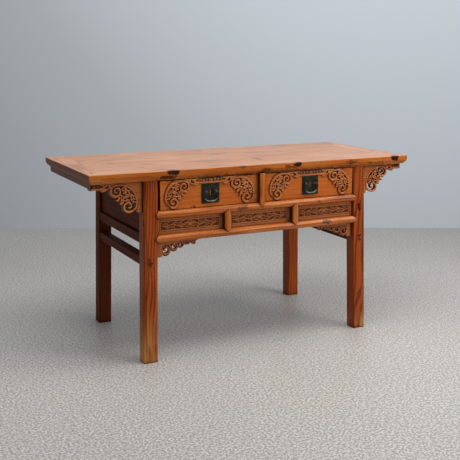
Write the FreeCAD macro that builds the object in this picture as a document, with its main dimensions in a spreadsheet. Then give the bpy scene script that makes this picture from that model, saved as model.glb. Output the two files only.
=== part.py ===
import FreeCAD, Part
import math
import os

import Sketcher

# Altar table with two drawers: a mitred frame and panel top on four splayed legs,
# half round rails with pointed ends, carved waist panels over a closed store,
# pierced scroll brackets and spandrels, and drop handles on square plates.
# Millimetres. X runs left to right, the front faces -Y, Z is up from the floor,
# and the origin is on the floor under the middle of the top.

doc = FreeCAD.newDocument("altar_table")

# The driving dimensions
DIMENSIONS = (
    # The whole table
    ("table_length", 1600, "over the top, left to right"),
    ("table_depth", 700, "over the top, front to back"),
    ("table_height", 840, "floor to the face of the top"),
    ("end_overhang", 241, "top edge to a leg's outer face, at the ends"),
    ("front_overhang", 15, "top edge to a leg's front face"),
    ("splay_side", 20, "how far a foot stands out sideways"),
    ("splay_front", 15, "how far a foot stands out to the front or the back"),
    ("joint_fit", 0.2, "play of a tenon in its mortise, each side"),
    # The top
    ("top_thickness", 40, "thickness of the moulded frame"),
    ("long_width", 150, "width of the front and rear frame members"),
    ("end_width", 90, "width of the frame's end members"),
    ("edge_round", 3, "rounding of the top's upper edge"),
    ("edge_lip", 12, "upright part of the moulded edge"),
    ("edge_undercut", 11, "how far the edge sweeps in below the lip"),
    ("edge_belly", 2.5, "how full the sweep of the edge is"),
    ("edge_fillet", 3.5, "height of the small square fillet under the sweep"),
    ("edge_quirk", 1.5, "step back of that fillet"),
    ("mitre_nose", 4, "how far a long member turns the corner before its mitre"),
    ("mitre_tenon_inset", 24, "outer edge of an end member to its tenon"),
    ("mitre_tenon_width", 40, "width of an end member's tenon"),
    ("mitre_tenon_thick", 11, "thickness of that tenon"),
    ("mitre_tenon_stop", 28, "wood left in front of that tenon"),
    ("board_thick", 16, "thickness of the floating boards"),
    ("board_tongue", 8, "thickness of the boards' tongue"),
    ("board_entry", 9, "how far a board goes into the frame"),
    ("board_seam", 0.2, "gap between two boards"),
    ("batten_width", 38, "width of a batten under the boards"),
    ("batten_gap", 322, "between one batten and the next"),
    ("dovetail_height", 5, "height of a batten's dovetailed back"),
    ("dovetail_undercut", 2, "how far a dovetail draws in, each side"),
    ("batten_tenon", 22, "length of a batten's tenons"),
    # The legs
    ("leg_size", 64, "side of a leg's square section"),
    ("leg_round", 7, "rounding of a leg's corners"),
    ("leg_bead", 8, "radius of the bead at a leg's outer corner"),
    ("leg_groove", 3, "width of the groove beside the bead"),
    ("leg_groove_depth", 1.3, "depth of that groove"),
    ("leg_tenon", 26, "side and height of the tenon on a leg"),
    # The front rails, divider and struts
    ("drawer_opening", 133, "upper rail to the underside of the top"),
    ("waist_height", 72, "opening between the two front rails"),
    ("rail_height", 33, "height of a front or rear rail"),
    ("rail_depth", 44, "depth of a front rail behind the legs' face"),
    ("rail_proud", 9, "how far a rail's round front stands out"),
    ("rail_chord", 6, "where the round front starts behind the legs' face"),
    ("rail_lap", 9.5, "how far a rail's point laps over a leg"),
    ("rail_point", 13, "length of a rail's point"),
    ("rail_nose", 9, "blunt end of a rail's point"),
    ("rail_tenon", 25, "length of a rail's tenon"),
    ("tenon_thick", 12, "thickness of a rail's tenon"),
    ("tenon_back", 16, "legs' face to a rail's tenon"),
    ("tenon_shoulder", 6, "rail left above and below its tenon"),
    ("divider_width", 28, "width of the upright between the drawers"),
    ("divider_depth", 38, "depth of that upright behind the legs' face"),
    ("strut_width", 30, "width of a waist strut"),
    ("strut_depth", 36, "depth of a waist strut behind the legs' face"),
    ("strut_offset", 173, "middle of the table to the middle of a strut"),
    ("crown_step", 0.4, "how far struts and divider lie below the rails' crown"),
    # The waist panels
    ("waist_recess", 18, "legs' face to a waist panel"),
    ("waist_panel_thick", 10, "thickness of a waist panel"),
    ("panel_entry", 5, "how far a panel goes into its grooves"),
    ("field_margin", 9, "edge of the opening to a panel's raised line"),
    ("field_line", 3, "width of the raised line"),
    ("field_height", 1.5, "height of the raised line"),
    # The ends
    ("side_rail_height", 44, "height of a side rail"),
    ("side_rail_drop", 6, "how far a side rail reaches below the front lower rail"),
    ("side_rail_width", 40, "thickness of a side rail"),
    ("side_rail_recess", 3, "leg's outer face to a side rail"),
    ("side_rail_round", 4, "rounding of a side rail's outer edges"),
    ("slot_height", 57, "gap between a side rail and the stretcher under it"),
    ("stretcher_height", 38, "height of a side stretcher"),
    ("stretcher_recess", 4, "leg's outer face to a side stretcher"),
    ("stretcher_width", 42, "thickness of a side stretcher"),
    ("stretcher_round", 2.5, "rounding of a stretcher's edges"),
    ("side_tenon", 20, "length of a side rail's tenon"),
    ("stretcher_tenon", 13, "thickness of a stretcher's through tenon"),
    ("stretcher_shoulder", 3, "stretcher left above and below its tenon"),
    ("tenon_flush", 0.3, "how far a through tenon ends inside the leg's face"),
    ("side_panel_thick", 12, "thickness of a side panel"),
    ("side_panel_recess", 9, "leg's outer face to a side panel"),
    ("side_panel_entry", 4, "how far a side panel goes into the legs"),
    ("side_panel_seat", 7, "how far a side panel goes into its rail"),
    # The back and the closed store
    ("rear_inset", 5, "legs' rear face to a rear rail"),
    ("rear_rail_depth", 35, "thickness of a rear rail"),
    ("rear_panel_inset", 14, "rear rail's back to a rear panel"),
    ("rear_panel_thick", 10, "thickness of a rear panel"),
    ("floor_rise", 11, "underside of the lower rails to the store's floor"),
    ("floor_thick", 12, "thickness of the store's floor"),
    ("floor_entry", 10, "how far the floor goes into the rails"),
    # The carved boards
    ("carving_drop", 137, "depth of a spandrel at the leg"),
    ("spandrel_thick", 17, "thickness of a side spandrel"),
    ("spandrel_recess", 15, "legs' face to a side spandrel"),
    ("spandrel_arm", 28, "height of a spandrel's arm"),
    ("end_inset", 15, "top's end to a spandrel's arm and the end apron"),
    ("bracket_length", 200, "length of a bracket under the lower rail"),
    ("bracket_drop", 68, "depth of that bracket at the leg"),
    ("bracket_thick", 17, "thickness of that bracket"),
    ("bracket_recess", 17, "legs' face to that bracket"),
    ("carved_gap", 0.3, "play between a carved board and the leg"),
    ("apron_thick", 17, "thickness of an end apron"),
    ("apron_drop", 30, "height of an end apron at its front"),
    ("apron_step", 6, "how much lower it is behind that"),
    ("apron_foot", 22, "length of its full height, behind the spandrel"),
    ("apron_round", 12, "rounding of its lower corners"),
    ("apron_rear", 14, "legs' rear face to the apron's rear end"),
    # The drawers
    ("drawer_gap_left", 10.5, "gap at the left end of a drawer's front"),
    ("drawer_gap_right", 1.5, "gap at the right end of a drawer's front"),
    ("drawer_gap_rear", 66, "back of a closed drawer to the upper rear rail"),
    ("drawer_recess", 8, "legs' face to a drawer's front"),
    ("drawer_under", 1.5, "gap below a drawer's front"),
    ("drawer_over", 5, "gap above a drawer's front"),
    ("drawer_front_thick", 20, "thickness of a drawer's front"),
    ("drawer_side_thick", 12, "thickness of a drawer's side"),
    ("drawer_side_height", 100, "height of a drawer's side"),
    ("drawer_back_thick", 12, "thickness of a drawer's back"),
    ("drawer_bottom_thick", 8, "thickness of a drawer's bottom"),
    ("drawer_bottom_rise", 7, "drawer's lower edge to its bottom"),
    ("drawer_bottom_entry", 5, "how far the bottom goes into its grooves"),
    ("tail_length", 13, "length of the dovetails in a drawer's front"),
    ("tail_narrow", 14, "width of a dovetail at its root"),
    ("tail_flare", 3, "how far a dovetail widens, each side"),
    ("runner_gap", 0.3, "running gap between a drawer and its runners"),
    ("runner_thick", 26, "height of a runner"),
    ("runner_width", 36, "width of an outer runner"),
    ("runner_entry", 5, "how far a runner is housed in the rails"),
    ("runner_leg_gap", 0.5, "gap between an outer runner and the legs"),
    ("guide_width", 26, "width of the guide between the drawers"),
    ("guide_height", 24, "height of that guide over its runner"),
    ("middle_runner_width", 90, "width of the middle runner"),
    ("carving_thick", 8, "thickness of a drawer's carving"),
    ("carving_top_gap", 3, "underside of the top to a drawer's carving"),
    ("mass_drop", 132, "underside of the top to the foot of a drawer's carved mass"),
    ("mass_clearance", 10, "least gap between a lock plate and a mass beside it"),
    ("mass_overhang", 2.6, "drawer's end to the corner that a carved mass is set out from"),
    ("strip_drop", 28, "underside of the top to the carved strip's lower edge"),
    # The plates and handles
    ("plate_size", 86, "side of a lock plate"),
    ("plate_thick", 2.5, "thickness of a lock plate"),
    ("plate_corner", 4, "rounding of a lock plate's corners"),
    ("plate_bevel", 1, "bevel round a lock plate's face"),
    ("plate_level", 57.5, "drawer's lower edge to the middle of its plate"),
    ("key_slot_width", 6, "width of the upright slot"),
    ("key_slot_height", 26, "height of the upright slot"),
    ("key_slot_rise", 5, "middle of the plate to the middle of the slot"),
    ("post_offset", 23.5, "middle of a handle to the middle of a post"),
    ("post_rise", 8, "middle of the plate to the posts"),
    ("post_radius", 2.8, "radius of a post's stem"),
    ("post_head", 5.4, "radius of a post's head"),
    ("post_stand", 8, "plate's face to the middle of a post's head"),
    ("rose_radius", 7, "radius of the round rose under a post"),
    ("rose_thick", 1.5, "thickness of that rose"),
    ("bail_radius", 2.4, "radius of the bail's rod"),
    ("bail_play", 0.35, "radial play of the bail in a post's eye"),
    ("bail_reach", 34.5, "middle of the handle to the side of its bail"),
    ("bail_shoulder", 6, "radius of the bail's shoulders"),
    ("bail_stub", 10, "how far the rod runs inward past a post's middle"),
    ("cut_overrun", 2, "how far a cutting solid stands past what it cuts"),
)

sheet = doc.addObject("Spreadsheet::Sheet", "Sizes")
for row, (alias, value, note) in enumerate(DIMENSIONS, start=1):
    sheet.set("A%d" % row, alias)
    sheet.set("B%d" % row, str(value))
    sheet.set("C%d" % row, note)
    sheet.setAlias("B%d" % row, alias)
doc.recompute()


class Size:
    """A length together with the formula that ties it to the sheet."""

    def __init__(self, value, text):
        self.value = float(value)
        self.text = text

    def _joined(self, other, sign, value):
        return Size(value, "(%s %s %s)" % (self.text, sign, other.text))

    def __add__(self, other):
        other = as_size(other)
        return self._joined(other, "+", self.value + other.value)

    def __radd__(self, other):
        return as_size(other) + self

    def __sub__(self, other):
        other = as_size(other)
        return self._joined(other, "-", self.value - other.value)

    def __rsub__(self, other):
        return as_size(other) - self

    def __mul__(self, other):
        other = as_size(other)
        return self._joined(other, "*", self.value * other.value)

    def __rmul__(self, other):
        return as_size(other) * self

    def __truediv__(self, other):
        other = as_size(other)
        return self._joined(other, "/", self.value / other.value)

    def __neg__(self):
        return Size(-self.value, "(0 - %s)" % self.text)


def as_size(thing):
    return thing if isinstance(thing, Size) else Size(thing, repr(thing))


def given(alias):
    return Size(sheet.get(alias), "Sizes." + alias)


# A quarter round of radius 1 rises this much over its chord.
QUARTER_BULGE_SHARE = 1 - math.sqrt(0.5)

ZERO = Size(0, "0")
FIT = given("joint_fit")
OVERRUN = given("cut_overrun")

# Places worked out from the driving dimensions
height = given("table_height")
half_length = given("table_length") / 2
half_depth = given("table_depth") / 2
underside = height - given("top_thickness")
upper_rail_top = underside - given("drawer_opening")
upper_rail_base = upper_rail_top - given("rail_height")
lower_rail_top = upper_rail_base - given("waist_height")
lower_rail_base = lower_rail_top - given("rail_height")
side_rail_base = lower_rail_base - given("side_rail_drop")
side_rail_top = side_rail_base + given("side_rail_height")
stretcher_top = side_rail_base - given("slot_height")
stretcher_base = stretcher_top - given("stretcher_height")
stretcher_middle = stretcher_base + given("stretcher_height") / 2


def leg_outer(level):
    """Distance from the middle of the table to a leg's outer face."""
    lean = given("splay_side") * (height - level) / height
    return half_length - given("end_overhang") + lean


def leg_front(level):
    """Y of the front legs' front face."""
    lean = given("splay_front") * (height - level) / height
    return given("front_overhang") - half_depth - lean


def leg_inner(level):
    return leg_outer(level) - given("leg_size")


def leg_back(level):
    return leg_front(level) + given("leg_size")


upper_face = leg_front(upper_rail_base)
lower_face = leg_front(lower_rail_base)

pieces = []


# Helpers for sketches, solids and booleans
def origin_plane(body, role):
    for feature in body.Origin.OriginFeatures:
        if feature.Role == role:
            return feature
    raise ValueError(role)


def edge_between(start, end, bulge):
    """Edge in the sketch plane and the numbers of its first and last point."""
    first = FreeCAD.Vector(start[0].value, start[1].value, 0)
    last = FreeCAD.Vector(end[0].value, end[1].value, 0)
    if bulge is None:
        return Part.LineSegment(first, last), 1, 2
    along = last - first
    outward = FreeCAD.Vector(along.y, -along.x, 0).normalize()
    rise = bulge.value
    radius = along.Length ** 2 / (8 * abs(rise)) + abs(rise) / 2
    side = math.copysign(1, rise)
    middle = (first + last) * 0.5 + outward * (rise - side * radius)
    circle = Part.Circle(middle, FreeCAD.Vector(0, 0, 1), radius)
    begin, finish = (first, last) if side > 0 else (last, first)
    angle_from = math.atan2(begin.y - middle.y, begin.x - middle.x)
    angle_to = math.atan2(finish.y - middle.y, finish.x - middle.x)
    if angle_to <= angle_from:
        angle_to += 2 * math.pi
    arc = Part.ArcOfCircle(circle, angle_from, angle_to)
    return (arc, 1, 2) if side > 0 else (arc, 2, 1)


def arc_radius(start, end, bulge):
    """Radius of the arc over a chord, from how far it bulges."""
    across = end[0] - start[0]
    along = end[1] - start[1]
    rise = bulge if bulge.value > 0 else -bulge
    return (across * across + along * along) / (8 * rise) + rise / 2


def draw(sketch, outline):
    """Closed outline of (x, y) points. A third entry bows the edge that ends there:
    outward where it is positive and the outline runs counter-clockwise."""
    count = len(outline)
    spans = []
    for index in range(count):
        after = outline[(index + 1) % count]
        bulge = after[2] if len(after) > 2 else None
        spans.append((outline[index], after, bulge))
    edges = [edge_between(*span) for span in spans]
    sketch.addGeometry([edge[0] for edge in edges], False)
    constraints = []
    formulas = []
    for index, (start, end, bulge) in enumerate(spans):
        following = (index + 1) % count
        constraints.append(
            Sketcher.Constraint("Coincident", index, edges[index][2], following, edges[following][1]))
        formulas.append(None)
        if bulge is not None:
            radius = arc_radius(start, end, bulge)
            constraints.append(Sketcher.Constraint("Radius", index, radius.value))
            formulas.append(radius.text)
        for kind, place, axis in (("DistanceX", start[0], -2), ("DistanceY", start[1], -1)):
            if place is ZERO:
                constraints.append(Sketcher.Constraint("PointOnObject", index, edges[index][1], axis))
                formulas.append(None)
            else:
                constraints.append(
                    Sketcher.Constraint(kind, -1, 1, index, edges[index][1], place.value))
                formulas.append(place.text)
    sketch.addConstraint(constraints)
    for number, formula in enumerate(formulas):
        if formula:
            sketch.setExpression("Constraints[%d]" % number, formula)


def add_sketch(body, name, plane, level, outline):
    sketch = body.newObject("Sketcher::SketchObject", name)
    sketch.AttachmentSupport = [(origin_plane(body, plane), "")]
    sketch.MapMode = "FlatFace"
    sketch.AttachmentOffset = FreeCAD.Placement(
        FreeCAD.Vector(0, 0, level.value), FreeCAD.Rotation())
    sketch.setExpression(".AttachmentOffset.Base.z", level.text)
    draw(sketch, outline)
    return sketch


def prism(name, plane, outline, low, high):
    """Body padded square to an origin plane, from low to high on the third axis."""
    body = doc.addObject("PartDesign::Body", name)
    level = -high if plane == "XZ_Plane" else low
    sketch = add_sketch(body, name + "_outline", plane, level, outline)
    pad = body.newObject("PartDesign::Pad", name + "_pad")
    pad.Profile = sketch
    pad.setExpression("Length", (high - low).text)
    body.Tip = pad
    return body


def block(name, across, along, upward):
    """Box from its low and high places on X, Y and Z."""
    box = doc.addObject("Part::Box", name)
    for size_name, axis, (low, high) in zip(
            ("Length", "Width", "Height"), "xyz", (across, along, upward)):
        box.setExpression(size_name, (high - low).text)
        box.setExpression(".Placement.Base." + axis, low.text)
    return box


def rod(name, axis, centre, radius, low, high):
    """Cylinder along X or Y through a point, from low to high."""
    cylinder = doc.addObject("Part::Cylinder", name)
    turned = {"x": FreeCAD.Rotation(FreeCAD.Vector(0, 1, 0), 90),
              "y": FreeCAD.Rotation(FreeCAD.Vector(1, 0, 0), -90)}[axis]
    cylinder.Placement = FreeCAD.Placement(FreeCAD.Vector(), turned)
    cylinder.setExpression("Radius", radius.text)
    cylinder.setExpression("Height", (high - low).text)
    start = dict(zip("xyz", centre))
    start[axis] = low
    for letter, place in start.items():
        cylinder.setExpression(".Placement.Base." + letter, place.text)
    return cylinder


def spread(pair, by):
    return (pair[0] - by, pair[1] + by)


def tenon(name, across, along, upward, *mortises):
    """Tenon block, and its mortise added to each list of cuts with play all round."""
    hole = block(name + "_mortise", spread(across, FIT), spread(along, FIT), spread(upward, FIT))
    for cuts in mortises:
        cuts.append(hole)
    return block(name, across, along, upward)


def fused(name, parts):
    if len(parts) == 1:
        return parts[0]
    joined = doc.addObject("Part::MultiFuse", name)
    joined.Shapes = parts
    return joined


def cut(name, base, tools):
    result = doc.addObject("Part::Cut", name)
    result.Base = base
    result.Tool = fused(name + "_tools", tools)
    return result


def common(name, first, second):
    result = doc.addObject("Part::MultiCommon", name)
    result.Shapes = [first, second]
    return result


def mirrored(name, source, normal):
    result = doc.addObject("Part::Mirroring", name)
    result.Source = source
    result.Normal = normal
    return result


LEFT_TO_RIGHT = FreeCAD.Vector(1, 0, 0)
FRONT_TO_BACK = FreeCAD.Vector(0, 1, 0)


def keep(piece, name):
    piece.Label = name
    pieces.append(piece)
    return piece


def keep_pair(piece, stem):
    """Left hand piece and its mirrored right hand twin."""
    keep(piece, stem + "_left")
    keep(mirrored(stem + "_right", piece, LEFT_TO_RIGHT), stem + "_right")


# Legs, before their mortises: a beaded square section that leans out both ways
def leg_section(level):
    side = given("leg_size")
    turn = given("leg_round")
    bead = given("leg_bead")
    groove_end = bead + given("leg_groove")
    groove = -given("leg_groove_depth")
    corner = turn * QUARTER_BULGE_SHARE
    left = -leg_outer(level)
    front = leg_front(level)
    return [
        (left + bead, front, bead * QUARTER_BULGE_SHARE),
        (left + groove_end, front, groove),
        (left + side - turn, front),
        (left + side, front + turn, corner),
        (left + side, front + side - turn),
        (left + side - turn, front + side, corner),
        (left + turn, front + side),
        (left, front + side - turn, corner),
        (left, front + groove_end),
        (left, front + bead, groove),
    ]


def leg_stock():
    """Section at the floor swept straight up the leg's lean to the top's underside."""
    body = doc.addObject("PartDesign::Body", "leg_stock")
    foot = add_sketch(body, "leg_foot", "XY_Plane", ZERO, leg_section(ZERO))
    sweep = body.newObject("PartDesign::Pad", "leg_sweep")
    sweep.Profile = foot
    sweep.UseCustomVector = True
    sweep.AlongSketchNormal = True
    for axis, rise in zip("xyz", (given("splay_side"), given("splay_front"), height)):
        sweep.setExpression(".Direction." + axis, rise.text)
    sweep.setExpression("Length", underside.text)
    body.Tip = sweep
    return body


front_left_stock = leg_stock()
front_right_stock = mirrored("front_right_stock", front_left_stock, LEFT_TO_RIGHT)
rear_left_stock = mirrored("rear_left_stock", front_left_stock, FRONT_TO_BACK)
rear_right_stock = mirrored("rear_right_stock", front_right_stock, FRONT_TO_BACK)
front_leg_cuts = []
rear_leg_cuts = []
long_member_cuts = []


# Top: the moulded slab that the mitred frame is sawn from
def edge_points(outer, inward):
    """Moulded edge from its top to its foot. Inward is 1 where in is the plus side."""
    lip_end = height - given("edge_round") - given("edge_lip")
    fillet_top = underside + given("edge_fillet")
    under = given("edge_undercut")
    foot = under + given("edge_quirk")
    return [
        (outer + inward * given("edge_round"), height),
        (outer, height - given("edge_round"), given("edge_round") * QUARTER_BULGE_SHARE),
        (outer, lip_end),
        (outer + inward * under, fillet_top, given("edge_belly")),
        (outer + inward * foot, fillet_top),
        (outer + inward * foot, underside),
    ]


def moulded_outline(half):
    """Section of the slab: counter-clockwise, down the low edge and up the high one."""
    down = edge_points(-half, 1)
    up = edge_points(half, -1)[::-1]
    bows = [point[2] if len(point) > 2 else None for point in up]
    rising = [up[0][:2]]
    for index in range(1, len(up)):
        bow = bows[index - 1]
        rising.append(up[index][:2] + ((bow,) if bow is not None else ()))
    return down + rising


slab_along = prism("slab_along", "YZ_Plane", moulded_outline(half_depth), -half_length, half_length)
slab_across = prism("slab_across", "XZ_Plane", moulded_outline(half_length), -half_depth, half_depth)
slab = common("top_slab", slab_along, slab_across)

inner_x = half_length - given("end_width")
inner_y = half_depth - given("long_width")
board_base = height - given("board_thick")
tongue_top = board_base + given("board_tongue")
entry = given("board_entry")
groove_ring = block(
    "board_groove", spread((-inner_x, inner_x), entry + FIT), spread((-inner_y, inner_y), entry + FIT),
    (board_base, tongue_top + FIT))


def build_top():
    """Mitred frame of four members, two floating boards and three dovetailed battens."""
    turn_y = half_depth - given("mitre_nose")
    front_plan = prism(
        "front_member_plan", "XY_Plane",
        [(-half_length, -half_depth), (half_length, -half_depth), (half_length, -turn_y),
         (inner_x, -inner_y), (-inner_x, -inner_y), (-half_length, -turn_y)],
        underside, height)
    rear_plan = prism(
        "rear_member_plan", "XY_Plane",
        [(-half_length, half_depth), (-half_length, turn_y), (-inner_x, inner_y),
         (inner_x, inner_y), (half_length, turn_y), (half_length, half_depth)],
        underside, height)
    left_plan = prism(
        "left_member_plan", "XY_Plane",
        [(-half_length, -turn_y), (-inner_x, -inner_y), (-inner_x, inner_y), (-half_length, turn_y)],
        underside, height)
    front_stock = common("front_member_stock", slab, front_plan)
    rear_stock = common("rear_member_stock", slab, rear_plan)
    left_stock = common("left_member_stock", slab, left_plan)

    tenon_x = given("mitre_tenon_inset") - half_length
    tenon_base = underside + (board_base - underside - given("mitre_tenon_thick")) / 2
    front_tenon = tenon(
        "mitre_tenon_front", (tenon_x, tenon_x + given("mitre_tenon_width")),
        (given("mitre_tenon_stop") - half_depth, -inner_y),
        (tenon_base, tenon_base + given("mitre_tenon_thick")), long_member_cuts)
    long_member_cuts.append(mirrored("mitre_mortise_right", long_member_cuts[-1], LEFT_TO_RIGHT))
    end_tenons = [front_tenon, mirrored("mitre_tenon_rear", front_tenon, FRONT_TO_BACK)]

    battens = build_battens()
    boards = []
    for side, low, high, tongue_low, tongue_high in (
            ("front", -inner_y, -given("board_seam") / 2, -inner_y - entry, -given("board_seam") / 2),
            ("rear", given("board_seam") / 2, inner_y, given("board_seam") / 2, inner_y + entry)):
        play = given("joint_fit")
        shown = block(side + "_board_face", spread((-inner_x, inner_x), -play),
                      (low + play, high - play), (board_base, height))
        tongue = block(side + "_board_tongue", spread((-inner_x, inner_x), entry - play),
                       (tongue_low + play, tongue_high - play), (board_base, tongue_top))
        boards.append(cut("top_board_" + side, fused(side + "_board_stock", [shown, tongue]), battens))
    for side, board in zip(("front", "rear"), boards):
        keep(board, "top_board_" + side)

    front_cuts = fused("front_member_mortises", long_member_cuts)
    rear_cuts = mirrored("rear_member_mortises", front_cuts, FRONT_TO_BACK)
    for side, stock, cuts in (("front", front_stock, front_cuts), ("rear", rear_stock, rear_cuts)):
        keep(cut("top_frame_" + side, stock, [groove_ring, cuts]), "top_frame_" + side)
    left = cut("top_frame_left", fused("left_member_with_tenons", [left_stock] + end_tenons), [groove_ring])
    keep_pair(left, "top_frame")


def build_battens():
    """Battens under the boards, dovetailed into them and tenoned into the frame."""
    half = given("batten_width") / 2
    neck = half - given("dovetail_undercut") - given("dovetail_undercut")
    tip = half - given("dovetail_undercut")
    dovetail_top = board_base + given("dovetail_height")
    tenon_low = underside + (board_base - underside) / 4
    tenon_high = board_base - (board_base - underside) / 4
    battens = []
    for side, step in (("left", -1), ("middle", 0), ("right", 1)):
        centre = (given("batten_width") + given("batten_gap")) * step
        outline = [
            (centre - half, underside), (centre + half, underside), (centre + half, board_base),
            (centre + neck, board_base), (centre + tip, dovetail_top), (centre - tip, dovetail_top),
            (centre - neck, board_base), (centre - half, board_base)]
        bar = prism("batten_bar_" + side, "XZ_Plane", outline, -inner_y, inner_y)
        ends = []
        for end, low, high in (("front", -inner_y - given("batten_tenon"), -inner_y),
                               ("rear", inner_y, inner_y + given("batten_tenon"))):
            cuts = long_member_cuts if end == "front" else []
            ends.append(tenon("batten_tenon_%s_%s" % (side, end), spread((centre, centre), neck),
                              (low, high), (tenon_low, tenon_high), cuts))
        batten = fused("top_batten_" + side, [bar] + ends)
        keep(batten, "top_batten_" + side)
        battens.append(batten)
    return battens


# Front rails: half round, pointed over the legs, coped round them and tenoned in
def rail_stock(name, base, top, face):
    middle = (base + top) / 2
    chord = face + given("rail_chord")
    back = face + given("rail_depth")
    crown = given("rail_chord") + given("rail_proud")
    reach = leg_inner(middle) + given("rail_lap")
    full = reach - given("rail_point")
    nose = given("rail_nose") / 2
    section = [(chord, base, crown), (back, base), (back, top), (chord, top)]
    plan = [
        (-full, base), (full, base), (reach, middle - nose), (reach, middle + nose),
        (full, top), (-full, top), (-reach, middle + nose), (-reach, middle - nose)]
    bar = prism(name + "_bar", "YZ_Plane", section, -reach, reach)
    shape = prism(name + "_points", "XZ_Plane", plan, face - given("rail_proud") - OVERRUN, back + OVERRUN)
    return cut(name + "_coped", common(name + "_pointed", bar, shape), [front_left_stock, front_right_stock])


def rail_tenons(name, base, top, depth_from, mortises):
    """Pair of tenons on a long rail; the mortise list is the left leg's."""
    middle = (base + top) / 2
    root = leg_inner(top) - OVERRUN
    end = leg_inner(middle) + given("rail_tenon")
    thickness = (depth_from, depth_from + given("tenon_thick"))
    rise = (base + given("tenon_shoulder"), top - given("tenon_shoulder"))
    left = tenon(name + "_tenon", (-end, -root), thickness, rise, mortises)
    return [left, mirrored(name + "_tenon_right", left, LEFT_TO_RIGHT)]


upper_rail_stock = rail_stock("front_rail_upper", upper_rail_base, upper_rail_top, upper_face)
lower_rail_stock = rail_stock("front_rail_lower", lower_rail_base, lower_rail_top, lower_face)
upper_rail_cuts = []
lower_rail_cuts = []
rear_upper_cuts = []
rear_lower_cuts = []


def half_round_section(centre, half, face, depth):
    """Plan of a strut or divider: a round front over a square back."""
    crown = given("rail_chord") + given("rail_proud") - given("crown_step")
    chord = face + given("rail_chord")
    return [
        (centre - half, chord), (centre + half, chord, crown),
        (centre + half, face + depth), (centre - half, face + depth)]


def build_divider_and_struts():
    """Uprights whose rounds are coped over the rails, which gives their pointed ends."""
    divider_stock = prism(
        "divider_stock", "XY_Plane",
        half_round_section(ZERO, given("divider_width") / 2, upper_face, given("divider_depth")),
        upper_rail_top - given("rail_height") / 2, underside)
    keep(cut("drawer_divider", divider_stock, [upper_rail_stock]), "drawer_divider")

    strut_stock = prism(
        "strut_stock", "XY_Plane",
        half_round_section(-given("strut_offset"), given("strut_width") / 2, upper_face, given("strut_depth")),
        lower_rail_top - given("rail_height") / 2, upper_rail_base + given("rail_height") / 2)
    strut = cut("waist_strut_left", strut_stock,
                [upper_rail_stock, lower_rail_stock] + waist_grooves)
    keep_pair(strut, "waist_strut")


waist_grooves = []


def build_waist_panels():
    """Three panels let into the rails, struts and legs, each with a raised line."""
    front = lower_face + given("waist_recess")
    back = front + given("waist_panel_thick")
    low = lower_rail_top
    high = upper_rail_base
    half_strut = given("strut_width") / 2
    strut_in = given("strut_offset") - half_strut
    strut_out = given("strut_offset") + half_strut
    leg_side = leg_inner(high)
    shelf = given("panel_entry")
    bays = (
        ("left", -leg_side, -strut_out, (upper_rail_cuts, lower_rail_cuts, waist_grooves, front_leg_cuts)),
        ("middle", -strut_in, strut_in, (upper_rail_cuts, lower_rail_cuts, waist_grooves)))
    for side, start, end, neighbours in bays:
        board = tenon("waist_board_" + side, spread((start, end), shelf), (front, back),
                      spread((low, high), shelf), *neighbours)
        margin = given("field_margin")
        line = margin + given("field_line")
        ring = cut(
            "waist_line_" + side,
            block("line_out_" + side, spread((start, end), -margin), (front - given("field_height"), front),
                  spread((low, high), -margin)),
            [block("line_in_" + side, spread((start, end), -line),
                   (front - given("field_height") - OVERRUN, front + OVERRUN), spread((low, high), -line))])
        panel = fused("waist_panel_" + side, [board, ring])
        if side == "left":
            keep_pair(panel, "waist_panel")
            for cuts in (upper_rail_cuts, lower_rail_cuts):
                cuts.append(mirrored("waist_groove_right_%d" % len(cuts), cuts[-1], LEFT_TO_RIGHT))
        else:
            keep(panel, "waist_panel_middle")


# Side rails, stretchers and panels, built on the left and mirrored
def rounded_bar(outer, width, base, top, turn):
    """Section with its outer edges rounded; outer is the lower X."""
    bow = turn * QUARTER_BULGE_SHARE
    return [
        (outer, base + turn), (outer + turn, base, bow), (outer + width, base),
        (outer + width, top), (outer + turn, top), (outer, top - turn, bow)]


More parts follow.
